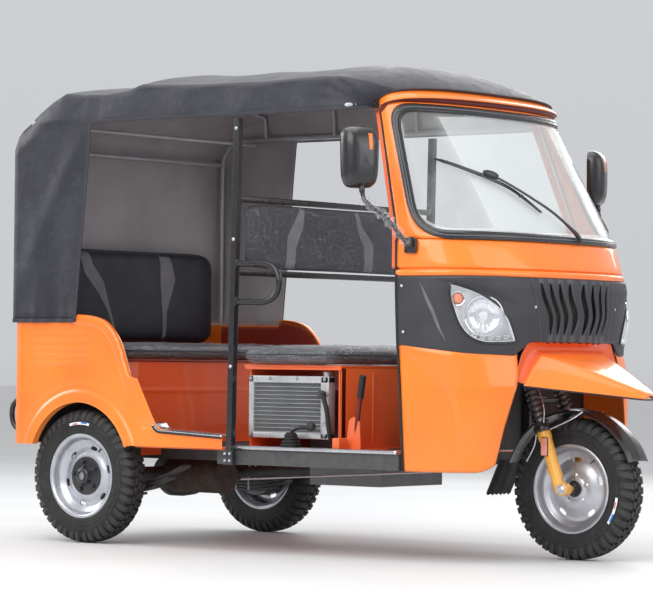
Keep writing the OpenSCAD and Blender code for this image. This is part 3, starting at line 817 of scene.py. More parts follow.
def open_sheet(name, G, mat, th, inner=(1745, 0, 900), side=-1, cu=False, cv=False, keep=None, **k):
    """Sheet of faces turned away from the point inner, made th thick by a modifier."""
    v, f = sheet_vf(G, cu, cv)
    if keep is not None:
        f = [q for q, ok in zip(f, keep) if ok]
    c = np.array(inner, float)
    s = 0.0
    for q in f[:: max(1, len(f) // 400)]:
        p = v[list(q)]
        n = np.cross(p[2] - p[0], p[3] - p[1])
        s += float(np.dot(n / max(np.linalg.norm(n), 1e-9), p.mean(0) - c))
    if s < 0:
        f = [q[::-1] for q in f]
    o = make(name, v, f, mat, weld=False, **k)
    m = o.modifiers.new("plate", "SOLIDIFY")
    m.thickness, m.offset, m.use_even_offset = th / 1000, side, False
    return o


def cut(o, *cutters):
    """Takes closed forms away from a piece and keeps the result as its mesh."""
    dg = bpy.context.evaluated_depsgraph_get()
    for vf in cutters:
        v, f = vf
        me = bpy.data.meshes.new("cutter")
        me.from_pydata(rows(v).tolist(), [], [tuple(q) for q in f])
        bm = bmesh.new(); bm.from_mesh(me); bmesh.ops.remove_doubles(bm, verts=bm.verts, dist=1e-6)
        bmesh.ops.recalc_face_normals(bm, faces=bm.faces); bm.to_mesh(me); bm.free()
        c = bpy.data.objects.new("cutter", me)
        scene.collection.objects.link(c)
        m = o.modifiers.new("cut", "BOOLEAN")
        m.operation, m.object, m.solver = "DIFFERENCE", c, "EXACT"
        bpy.context.view_layer.update()
        dg = bpy.context.evaluated_depsgraph_get()
        new = bpy.data.meshes.new_from_object(o.evaluated_get(dg))
        o.modifiers.clear()
        old = o.data
        o.data = new
        bpy.data.objects.remove(c)
        bpy.data.meshes.remove(me)
        bpy.data.meshes.remove(old)
    return o


def solid_apply(o):
    """Applies a piece's modifiers to its mesh."""
    bpy.context.view_layer.update()
    dg = bpy.context.evaluated_depsgraph_get()
    new = bpy.data.meshes.new_from_object(o.evaluated_get(dg))
    o.modifiers.clear()
    old = o.data
    o.data = new
    bpy.data.meshes.remove(old)
    return o


# --- orange side panels of the nose, with a pressed crease running from the top rear corner
CRE = np.array([[325, -61.5], [409, -62.2], [517, -63.1], [570, -64.2], [607, -66.2], [653, -71.2], [703, -78.6], [767, -88.9], [800, -92]], float)


def cowl(side):
    nu, nv = 74, 64
    u = np.linspace(0, 1, nu)[:, None]
    v = np.linspace(0, 1, nv)[None, :]
    edge = np.where(v < 0.8, 42.5 - 13 * v / 0.8, 29.5 - 1.0 * (v - 0.8) / 0.2)
    t = -90 + u * (90 - edge)
    lo = 327 + 30 * np.clip((t + 55) / 13, 0, 1.3) ** 2.2
    hi = mask_low(t) + 10
    z = lo + (hi - lo) * v
    tc = np.interp(z, CRE[:, 0], CRE[:, 1])
    off = -5.0 * sm(t - tc, -1.2, 3.0) * sm(z, 360, 560) * (1 - sm(t, -46, -30))
    off = off + 7 * sm(mask_low(t) - z, 2, -9)                      # tucked under the mask
    off = off + 5.0 * (1 - sm(z - lo, 0, 13)) ** 2                  # rolled lower edge
    off = off + 4.0 * (1 - sm(-t - edge, 0, 2.2)) ** 2              # rolled front edge
    off = off + 1.2 * vnoise(cab(t, z), 210)
    G = cab(t, z, off)
    if side > 0:
        G = G * [1, -1, 1]
    return open_sheet("nose_panel_" + ("left" if side > 0 else "right"), G, ORANGE, 2.6, repl=("front_cowls",), angle=60)


cowl(-1)
cowl(1)
# dark edge trim down the rear edge of the cab
A = Acc()
for s in (-1, 1):
    z = np.linspace(328, 1168, 60)
    p = cab(90 * s, z, 0) + np.array([-2.0, 0, 0])
    A.add(tube_vf(p, 1.0, 10, flat=(9, 13), up=[1, 0, 0]))
A.make("cab_edge_trim", [RUBBER], slot="rubber")

# --- headlamp outline, right side, on the mask
UP = np.array([(-63.8, 1011), (-58.5, 1001), (-51.9, 985), (-45, 960), (-38.6, 926), (-34.2, 885), (-31.6, 845), (-29.4, 801)], float)
DN = np.array([(-29.4, 801), (-37, 796), (-44.8, 796), (-50.5, 806), (-55.2, 826), (-59.2, 860), (-62.3, 910), (-64.2, 965), (-63.8, 1011)], float)


def resample(p, n):
    q = spline(p, 16)
    P = cab(q[:, 0], q[:, 1])
    s = np.concatenate([[0], np.cumsum(np.linalg.norm(np.diff(P, axis=0), axis=1))])
    k = np.linspace(0, s[-1], n)
    return np.stack([np.interp(k, s, q[:, 0]), np.interp(k, s, q[:, 1])], 1)


def lamp_grid(n=40, m=22, inset=0.0, k0=0.0, k1=1.0):
    """(t, z) over the lamp's face; inset shrinks it towards its middle."""
    a, b = resample(UP, n), resample(DN, n)[::-1]
    w = np.linspace(0, 1, m)[None, :, None]
    g = b[:, None] * (1 - w) + a[:, None] * w
    c = np.array([-47.5, 893.0])
    return c + (g - c) * (1 - inset)


def lamp_loop(inset=0.0, n=34):
    g = np.concatenate([resample(UP, n)[:-1], resample(DN, n)[:-1]])
    c = np.array([-47.5, 893.0])
    return c + (g - c) * (1 - inset)


def mirrorY(vf):
    v, f = vf
    return np.asarray(v) * [1, -1, 1], [q[::-1] for q in f]


# --- black mask: side pieces with a lamp opening
def mask_off(t, z):
    """Relief of the mask: proud rolled edges, a crease over the lamp, a hollow behind it."""
    zl = mask_low(t)
    o = -3.5 + 4.5 * (1 - sm(z - zl, 0, 10)) ** 2 + 3.0 * (1 - sm(1036 - z, 0, 8)) ** 2
    zc = np.interp(-t, [20, 32.8, 42, 53, 62, 69.7], [905, 957, 985, 1008, 1022, 1033])
    o = o - 5.5 * sm(z - zc, -16, 4) * sm(-t, 24, 40) * (1 - sm(-t, 64, 74))
    zs = np.interp(-t, [60, 66.6, 70, 73.7, 79.4], [790, 800, 850, 912, 1013])
    o = o + 5.0 * sm(-t, 55, 66) * (1 - sm(-t, 70, 79)) * np.exp(-((z - 900) / 110.0) ** 2)
    return o


def mask(side):
    nu, nv = 110, 46
    v = np.linspace(0, 1, nv)[None, :]
    u = np.linspace(0, 1, nu)[:, None]
    seam = 17.1 + 5 * v
    t = -90 + (90 - seam) * u
    zl = mask_low(t)
    z = zl + (1037 - zl) * v
    off = mask_off(t, z)
    off = off + 2.5 * (1 - sm(-seam - t, 0, 0.9)) ** 2
    G = cab(t, z, off)
    o = open_sheet("mask_side_" + ("left" if side > 0 else "right"), G if side < 0 else G * [1, -1, 1], MASK, 3.4, repl=("front_mask",), angle=50)
    lp = lamp_loop(0.0)
    fo, bk = cab(lp[:, 0], lp[:, 1], -60), cab(lp[:, 0], lp[:, 1], 60)
    n = len(lp)
    vv = np.concatenate([fo, bk])
    ff = [tuple(range(n)), tuple(range(2 * n - 1, n - 1, -1))] + [(i, n + i, n + (i + 1) % n, (i + 1) % n) for i in range(n)]
    vf = (vv, ff)
    if side > 0:
        vf = mirrorY(vf)
    solid_apply(o)
    cut(o, vf)
    return o


mask(-1)
mask(1)

# screws of the mask and the silver stripe painted along its hollow
A, B = Acc(), Acc()
for (t, z) in ((-88.2, 1000), (-88.0, 833), (-20.6, 929)):
    p = cab(t, z, -4.5)
    nrm = cab(t, z, -40) - cab(t, z, 0)
    for k in (1, -1):
        A.add(dome_vf(p * [1, k, 1], nrm * [1, k, 1], 5.5, 3.0, 14))
    A.add(hexbolt_vf(p, nrm, 3.0, 3.4, False))
A.make("mask_screws", [BRIGHT])
zz = np.linspace(800, 1016, 40)
tc = np.interp(zz, [800, 804.8, 850, 912.5, 960, 1013.5, 1016], [-66.2, -66.6, -70.2, -73.7, -76.6, -79.4, -79.6])
wd = 7.2 * np.sin(pi * np.clip((zz - 800) / 216, 0, 1)) ** 0.7
rowsS = []
for k in np.linspace(-1, 1, 7):
    # width in millimetres turned into degrees on this flank
    t_ = tc + k * wd / 6.2
    rowsS.append(cab(t_, zz, mask_off(t_, zz) - 0.9 - 1.8 * (1 - k * k)))
G = np.array(rowsS)
for s in (-1, 1):
    open_sheet("mask_stripe_" + ("left" if s > 0 else "right"), G if s < 0 else G * [1, -1, 1], SWOOSH, 1.2, side=-1)

# --- headlamps
for s in (-1, 1):
    fl = (lambda vf: vf) if s < 0 else mirrorY
    nm = "left" if s > 0 else "right"
    # lens bulges past the mask
    g = lamp_grid(44, 24, 0.035)
    n, m = g.shape[:2]
    a = np.linspace(0, 1, n)[:, None]
    b = np.linspace(0, 1, m)[None, :]
    bul = (np.sin(pi * a) ** 0.5) * (np.sin(pi * b) ** 0.6)
    G = cab(g[..., 0], g[..., 1], -5 - 12 * bul)
    open_sheet("headlamp_lens_" + nm, G if s < 0 else G * [1, -1, 1], LENS, 1.6, repl=("headlamps",), slot="lamp_lens", side=-1)
    # bezel: dark outer rim and bright inner rim
    A = Acc()
    lp = lamp_loop(0.0, 40)
    A.add(fl(tube_vf(cab(lp[:, 0], lp[:, 1], -4.5), 1.0, 10, closed=True, flat=(8, 7))), 0)
    lp2 = lamp_loop(0.055, 40)
    A.add(fl(tube_vf(cab(lp2[:, 0], lp2[:, 1], -3.0), 2.6, 8, closed=True)), 1)
    A.make("headlamp_rim_" + nm, [BLACKP, CHROME], slot="mask_plastic")
    # silvered bowl
    g = lamp_grid(44, 24, 0.0)
    bul = np.minimum(1, (np.sin(pi * a) * 1.25)) ** 0.45 * np.minimum(1, np.sin(pi * b) * 1.3) ** 0.45
    cc = cab(g[..., 0], g[..., 1], 2 + 34 * bul)
    cc = cc + 1.4 * vnoise(cc, 14)[..., None]
    open_sheet("headlamp_bowl_" + nm, cc if s < 0 else cc * [1, -1, 1], WHITELENS, 2, inner=(1745, 0, 900) , slot="lamp_lens", side=-1)
    # round reflector with a bulb shield, ringed by steps
    A = Acc()
    c0 = cab(-46.8, 893, 30)
    nrm = cab(-46.8, 893, -40) - cab(-46.8, 893, 0)
    nrm = nrm / np.linalg.norm(nrm)
    nrm = nrm + np.array([0.10, 0.0, 0.0]); nrm /= np.linalg.norm(nrm)
    prof = [(6, 0), (6, 13), (4, 20), (5, 34), (9, 48), (16, 60), (24, 66), (30, 69), (31, 73), (27, 75), (14, 70), (0, 58), (-2, 0)]
    A.add(fl(lathe_vf(prof, c0, nrm, 48)), 0)
    A.add(fl(lathe_vf([(6, 0), (6, 15), (14, 17), (24, 16), (30, 12), (33, 6), (34, 0)], c0, nrm, 28)), 1)
    for k in range(16):
        an = 2 * pi * k / 16
        a_, u_, w_ = basis(nrm)
        d_ = u_ * cos(an) + w_ * sin(an)
        A.add(fl(tube_vf(np.array([c0 + nrm * 6 + d_ * 21, c0 + nrm * 8.5 + d_ * 40, c0 + nrm * 17.5 + d_ * 58]), [0.8, 1.1, 1.6], 6)), 0)
    A.make("headlamp_reflector_" + nm, [CHROME, WHITELENS], slot="lamp_lens")
    # indicator: amber dish in its silver cup
    A = Acc()
    c1 = cab(-60.2, 955, 16)
    n1 = cab(-60.2, 955, -40) - cab(-60.2, 955, 0)
    A.add(fl(lathe_vf([(-4, 0), (0, 14), (5, 21), (9, 23), (10, 25.5), (4, 26), (-5, 22), (-6, 0)], c1, n1, 30)), 0)
    A.add(fl(lathe_vf([(-3, 0), (1, 10), (7, 17), (11, 14), (14, 7), (15, 0)], c1, n1, 24)), 1)
    A.make("indicator_" + nm, [CHROME, AMBER], slot="lamp_lens")
    # row of five small lamps along the lower edge
    A = Acc()
    for (t, z) in ((-51.2, 822), (-47.0, 815), (-42.8, 813), (-38.8, 814.5), (-34.6, 818)):
        c2 = cab(t, z, 2)
        n2 = cab(t, z, -40) - cab(t, z, 0)
        A.add(fl(lathe_vf([(-16, 0), (-16, 9), (0, 9), (1.5, 8), (0, 6.2), (-3, 5.4), (-5, 0)], c2, n2, 20)), 0)
        A.add(fl(lathe_vf([(-6, 0), (-6, 4.6), (-3.2, 3.6), (-1.8, 0)], c2, n2, 14)), 1)
    A.make("daylight_row_" + nm, [CHROME, BLUED], slot="lamp_lens")

# --- grille with eight waved slots
nv = 61
v = np.linspace(0, 1, nv)
zg = 800 + (1037 - 800) * v
v0, v1 = 0.115, 0.93
w = np.clip((v - v0) / (v1 - v0), 0, 1)
topT = np.linspace(-16.2, 16.2, 8)
botT = np.linspace(-11.6, 11.6, 8)
cols = [-(17 + 5 * v)]
for k in range(8):
    tc = botT[k] + (topT[k] - botT[k]) * w + 0.75 * np.sin(2 * pi * (w - 0.08)) * (1 if k < 8 else -1)
    hw = (1.02 + 0.1 * w) * np.sin(pi * w) ** 0.42
    hw = np.where((v <= v0) | (v >= v1), 0.0, hw)
    cols += [tc - hw, tc + hw]
cols.append(17 + 5 * v)
edges = np.array(cols)                                         # 18 edge columns
tt, kind = [], []
for k in range(17):
    slot = k % 2 == 1
    n = 1 if slot else 5
    for i in range(n):
        tt.append(edges[k] + (edges[k + 1] - edges[k]) * i / n)
        kind.append((slot, i / n))
tt.append(edges[-1])
tt = np.array(tt)
prof = np.zeros_like(tt)
for c in range(len(tt)):
    sl, fr = kind[c] if c < len(kind) else (False, 0.0)
    x = 0 if sl else fr
    prof[c] = 5.0 * (1 - math.sin(pi * x) ** 0.5 if 0 < x < 1 else 1.0) * np.sin(pi * w) ** 0.3 if 0 < c < len(tt) - 1 else 0
G = cab(tt, zg[None, :], -3.0 + prof + 3.0 * (1 - sm(1036 - zg, 0, 8))[None, :] ** 2 + 4.0 * (1 - sm(zg - 800, 0, 8))[None, :] ** 2)
keep = []
for c in range(len(tt) - 1):
    wide = tt[c + 1] - tt[c]
    for j in range(nv - 1):
        keep.append(not (kind[c][0] and max(wide[j], wide[j + 1]) > 1e-6))
open_sheet("grille_panel", G, MASK, 11, keep=keep, repl=("grille",), angle=45)
# dusty black liner behind the slots: painted shade where the inside of the nose shows through
zz = np.linspace(786, 1046, 14)
G = cab(np.linspace(-24, 24, 30)[:, None], zz[None, :], 66)
open_sheet("grille_shade_liner", G, BLACKD, 3)
A = Acc()
for k in range(8):
    for q, vz in ((botT[k], 0.085), (topT[k], 0.955)):
        z = 800 + 237 * vz
        p = cab(q, z, -2.5)
        A.add(dome_vf(p, cab(q, z, -40) - cab(q, z, 0), 3.0, 1.6, 10), 0)
A.make("grille_studs", [MASK])


# ------------------------------------------------------------ upper cowl, windscreen, visor
T = np.linspace(-90, 90, 121)[:, None]
zp = np.array([1036, 1037, 1040, 1045, 1051, 1056, 1059, 1060.5, 1062, 1064, 1065.5, 1068, 1074, 1084, 1100, 1120, 1140, 1156, 1164, 1169, 1172, 1176])
op = np.array([4, -1, -4.5, -7, -7.5, -6, -3.5, 2, 5, 5, 2, -2.2, -3.4, -3.8, -3.6, -3.2, -3.0, -2.6, -1.5, 1, 5, 7])
G = cab(T, zp[None, :], op[None, :] + 0.8 * vnoise(cab(T, zp[None, :]), 260))
open_sheet("upper_cowl_panel", G, ORANGE, 2.6, repl=("upper_cowl",), angle=60)

ZL = np.linspace(1160, 1705, 24)
TL = np.linspace(-90, 90, 361)
_arc = []
for z in ZL:
    p = cab(TL, z)
    s_ = np.concatenate([[0], np.cumsum(np.linalg.norm(np.diff(p, axis=0), axis=1))])
    _arc.append(s_ - s_[180])
_arc = np.array(_arc)


def s_of(t, z):
    a = np.array([np.interp(t, TL, r) for r in _arc])
    return float(np.interp(z, ZL, a))


def sz(s, z, off=0.0):
    """Point of the windscreen's surface at arc length s from the middle, height z."""
    s, z, off = np.broadcast_arrays(np.asarray(s, float), np.asarray(z, float), np.asarray(off, float))
    out = np.empty(s.shape)
    fs, fz = s.ravel(), z.ravel()
    k = np.clip((fz - ZL[0]) / (ZL[1] - ZL[0]), 0, len(ZL) - 1.001)
    i = k.astype(int)
    w = k - i
    t = np.array([(1 - c) * np.interp(a, _arc[b], TL) + c * np.interp(a, _arc[b + 1], TL) for a, b, c in zip(fs, i, w)])
    return cab(t.reshape(s.shape), z, off)


def rrect(d, r=112, n=9):
    """Windscreen outline pulled in by d, as (s, z) points."""
    zb, zt = 1170 + d, 1676 - d
    sb, st = s_of(82, zb) - d, s_of(82, zt) - d
    return fillet([(-sb, zb), (sb, zb), (st, zt), (-st, zt)], max(20, r - d), n)


def dense(p, n):
    q = np.concatenate([p, p[:1]])
    L = np.concatenate([[0], np.cumsum(np.linalg.norm(np.diff(q, axis=0), axis=1))])
    k = np.linspace(0, L[-1], n, endpoint=False)
    return np.stack([np.interp(k, L, q[:, 0]), np.interp(k, L, q[:, 1])], 1)


NW = 168
base0 = dense(rrect(0), NW)


def wring(d):
    c = np.array([0, 1423.0])
    p = dense(rrect(d), 900)
    ang = np.arctan2(p[:, 1] - c[1], (p[:, 0] - c[0]) * 0.42)
    a0 = np.arctan2(base0[:, 1] - c[1], (base0[:, 0] - c[0]) * 0.42)
    o = np.argsort(ang)
    A_, P_ = ang[o], p[o]
    A_ = np.concatenate([A_ - 2 * pi, A_, A_ + 2 * pi])
    P_ = np.concatenate([P_, P_, P_])
    return np.stack([np.interp(a0, A_, P_[:, 0]), np.interp(a0, A_, P_[:, 1])], 1)


# orange surround with the opening
inner_ = wring(8)
outer_ = []
for (s_, z_) in wring(0):
    c = np.array([0, 1423.0])
    d_ = np.array([s_, z_]) - c
    lo, hi = 1.0, 3.0
    for _ in range(30):
        m_ = (lo + hi) / 2
        q = c + d_ * m_
        inside = 1172 < q[1] < 1690 and abs(q[0]) < s_of(90, min(max(q[1], 1161), 1704)) - 0.5
        lo, hi = (m_, hi) if inside else (lo, m_)
    outer_.append(c + d_ * lo)
outer_ = np.array(outer_)
rws = [outer_ + (inner_ - outer_) * k for k in (0, 0.04, 0.15, 0.4, 0.7, 1.0)]
offs = [3, -1.6, -2.6, -2.6, -2.2, -1.0]
G = np.array([sz(r_[:, 0], r_[:, 1], o_) for r_, o_ in zip(rws, offs)])
open_sheet("windscreen_surround", G, ORANGE, 2.4, cv=True, repl=("windscreen_frame",), angle=60)
# door frame return behind the pillar, in the darker orange as painted shade
for s in (-1, 1):
    z = np.linspace(1064, 1684, 40)
    p = cab(90 * s, z)
    G = np.stack([p + np.array([-7, -9 * s, 0]), p + np.array([-16, -7 * s, 0]), p + np.array([-30, -9 * s, 0]), p + np.array([-32, -24 * s, 0])])
    open_sheet("pillar_return_" + ("left" if s > 0 else "right"), G, ORANGE_SHADED, 2.0, inner=(1300, 0, 1300), side=-1)
A = Acc()
for s in (-1, 1):
    z = np.linspace(1168, 1684, 50)
    p = cab(90 * s, z) + np.array([-2.5, -2.0 * s, 0])
    A.add(tube_vf(p, 1.0, 8, flat=(8, 9), up=[1, 0, 0]))
A.make("pillar_gap_trim", [RUBBER], slot="rubber")
# rubber gasket with a pale grey strip along its groove: a painted highlight
dd = [-2, 0, 3, 8, 12, 14, 17, 22, 28, 31, 33]
oo = [1, -4, -8.5, -10, -9, -7.5, -9, -9.5, -7, -3, 2]
G = np.array([sz(*wring(d).T, o_) for d, o_ in zip(dd, oo)])
open_sheet("windscreen_gasket", G, BLACKP, 3, cv=True, slot="rubber", angle=60)
w14 = wring(13.6)
GASKET_HIGHLIGHT = satin("gasket_highlight_strip", "rubber", lin(88, 88, 96), rough=0.28, grain=200, gs=0.03, coat=0.4)
A = Acc()
A.add(tube_vf(sz(w14[:, 0], w14[:, 1], -9.4), 2.6, 8, closed=True))
A.make("gasket_highlight_strip", [GASKET_HIGHLIGHT])
# the pane
cs = wring(29)
c = np.array([0, 1423.0])
G = np.array([sz(*(c + (cs - c) * k).T, 1.0) for k in np.linspace(1.0, 0.02, 14)])
v_, f_ = sheet_vf(G, False, True)
f_.append(tuple(len(v_) - NW + i for i in range(NW)))
o = make("windscreen_pane", v_, f_, GLASS, repl=("windscreen_glass",), angle=80)
m = o.modifiers.new("plate", "SOLIDIFY"); m.thickness, m.offset = 0.004, 0

# visor
def vis(x0, x1, W, z0, z1, t):
    c = np.maximum(0, np.cos(np.radians(t))) ** 0.8
    s = np.sin(np.radians(t)); s = np.sign(s) * np.abs(s) ** 0.8
    return np.stack([x0 + (x1 - x0) * c, W * s, z0 + (z1 - z0) * c ** 0.35], -1)


tv = np.concatenate([np.linspace(-90, -80, 9)[:-1], np.linspace(-80, 80, 71), np.linspace(80, 90, 9)[1:]])
rowsV = [(1330, 1450, 500, 1702, 1762), (1372, 1505, 516, 1692, 1752), (1393, 1530, 524, 1678, 1738), (1399, 1545, 529, 1668, 1728), (1402, 1566, 533, 1660, 1716),
         (1404, 1579, 536, 1655, 1709), (1404, 1583.5, 537, 1651.5, 1705), (1403, 1583, 536, 1649.5, 1702)]
G = np.array([vis(*r_, tv) for r_ in rowsV])
open_sheet("visor_top", G, ORANGE, 2.5, inner=(1300, 0, 1500), repl=("visor",), angle=70)
# underside of the visor lip in dark maroon: painted shade
G = np.array([vis(*r_, tv) for r_ in [(1402.5, 1582, 535.5, 1649.8, 1702.2), (1402, 1577, 533, 1647, 1699), (1402, 1571, 529, 1644, 1694)]] + [cab(tv, np.interp(np.abs(tv), [0, 80, 90], [1683, 1680, 1640]), -5.0)])
open_sheet("visor_underside", G, SHADE, 1.5, inner=(1500, 0, 1760), side=-1, angle=70)

# --- front mudguard beak and the neck above it
MG = np.array([[1912, 218, 758, 322, 641, 764], [1960, 192, 741, 284, 635, 749], [2030, 154, 713, 228, 626, 721], [2100, 116, 684, 172, 617, 690],
               [2170, 77, 653, 116, 608, 658], [2225, 45, 628, 68, 600, 632], [2246, 28, 617, 42, 597, 620], [2254, 14, 609, 20, 596, 611]], float)
xs = np.concatenate([np.linspace(1912, 2225, 30), np.linspace(2230, 2254, 8)])
cols = [np.interp(xs, MG[:, 0], MG[:, k]) for k in range(6)]
us = np.concatenate([np.linspace(-1, -0.06, 9), np.linspace(-0.03, 0.03, 3)])
_, hw, zc_, lw_, zl_, cr_ = cols
pts = []
# lower return flange, side, soft crease, crown, mirrored
side = []
for k in (-0.03, 0.0, 0.02, 0.1, 0.3, 0.5, 0.7, 0.85, 0.94):
    kk = max(k, 0)
    y = lw_ + (hw - lw_) * kk
    z = zl_ + (zc_ - zl_) * kk
    bow = 5.0 * np.sin(pi * kk)
    y = y + bow * 0.8 + (-6 if k < 0 else 0)
    z = z + bow * 0.5 + (1.5 if k < 0 else 0)
    side.append((y, z))
crown = []
for u in (0.985, 0.95, 0.88, 0.75, 0.6, 0.4, 0.2, 0.0):
    y = hw * u
    z = zc_ + (cr_ - zc_) * (1 - u * u) - (2.2 if u > 0.97 else 0.6 if u > 0.94 else 0)
    crown.append((y, z))
half = side + crown
allp = [(-y, z) for (y, z) in half] + [(y, z) for (y, z) in half[:-1]][::-1]
G = np.stack([np.stack([xs, y, z], -1) for (y, z) in allp])
o = open_sheet("mudguard_beak", G, ORANGE, 2.4, inner=(2000, 0, 600), repl=("front_mudguard",), angle=60)
# black edging along the lower rim
A = Acc()
lowp = np.concatenate([np.stack([xs, -lw_, zl_ - 1], -1), np.stack([xs, lw_, zl_ - 1], -1)[::-1]])
A.add(tube_vf(lowp, 3.2, 8))
A.make("beak_edging", [BLACKP], slot="rubber")
# neck: a hollow sheet from the mask's raised lower edge and the panels' front edges to the beak's rear edge, in the
# darker orange as painted shade
n = 61
q = np.linspace(-1, 1, n)
ta = np.where(np.abs(q) < 0.55, q / 0.55 * 23.0, np.sign(q) * (23 + 8.0 * (np.abs(q) - 0.55) / 0.45))
za = np.where(np.abs(q) < 0.5, 806, np.interp(np.abs(q), [0.5, 0.62, 0.75, 1.0], [806, 775, 745, 672]))
Pa = cab(ta, za, 7)
yb = np.interp(np.abs(q), [0, 0.5, 0.6, 1.0], [0, 196, 219, 312]) * np.sign(q)
zb = np.interp(np.abs(q), [0, 0.5, 0.6, 1.0], [765, 759, 752, 650])
Pb = np.stack([np.full(n, 1915.0), yb, zb], -1)
rows_ = []
for k in np.linspace(0, 1, 12):
    P = Pa * (1 - k) + Pb * k
    P[:, 0] -= 16 * sin(pi * k) * (0.6 + 0.4 * np.cos(q * pi / 2))
    P[:, 2] -= 5 * sin(pi * k)
    rows_.append(P)
open_sheet("mudguard_neck", np.array(rows_), ORANGE_SHADED, 2.4, inner=(1700, 0, 700), angle=70)

# --- wiper
A = Acc()
pv = cab(4.7, 1183, -8)
nrm = cab(4.7, 1183, -40) - cab(4.7, 1183, 0)
nrm /= np.linalg.norm(nrm)
A.add(lathe_vf([(-8, 0), (-8, 15), (2, 15), (5, 12), (13, 11), (16, 8), (17, 0)], pv, nrm, 20), 0)
arm = spline([cab(4.7, 1183, -20), cab(3.2, 1212, -26), cab(-1.2, 1281, -34), cab(-8, 1334, -36), cab(-17, 1385, -34), cab(-23.2, 1413, -27)], 8)
rr = np.interp(np.linspace(0, 1, len(arm)), [0, 0.18, 0.3, 0.85, 1], [8.0, 7.0, 4.2, 3.4, 3.2])
A.add(tube_vf(arm, rr / 4.5, 10, flat=(7, 11), up=nrm), 0)
bl = spline([cab(-54.5, 1467, -13), cab(-46, 1452, -17), cab(-36, 1430, -18.5), cab(-24, 1399, -19), cab(-14, 1358, -18.5), cab(-4.4, 1284, -13)], 8)
A.add(tube_vf(bl, np.interp(np.linspace(0, 1, len(bl)), [0, 0.1, 0.5, 0.9, 1], [0.55, 0.9, 1.15, 0.9, 0.55]), 8, flat=(6, 13), up=nrm), 0)
bl2 = bl + (cab(-24, 1399, 8) - cab(-24, 1399, 0))[None] * 0.9
A.add(tube_vf(bl2, 1.0, 6, flat=(8, 2.4), up=nrm), 1)
for k in (6, 20, 34):
    p = bl[min(k, len(bl) - 1)]
    A.add(rbox_vf(p - [7, 7, 6], p + [7, 7, 6], 2.5), 0)
h0, h1 = cab(-20.6, 1407, -26), cab(-27.4, 1423, -26)
A.add(tube_vf(np.linspace(h0, h1, 8), [0.7, 0.95, 1.05, 1.1, 1.1, 1.05, 0.95, 0.6], 12, flat=(18, 26), up=nrm), 0)
A.make("wiper_set", [BLACKP, RUBBER], repl=("wiper",), slot="mask_plastic")

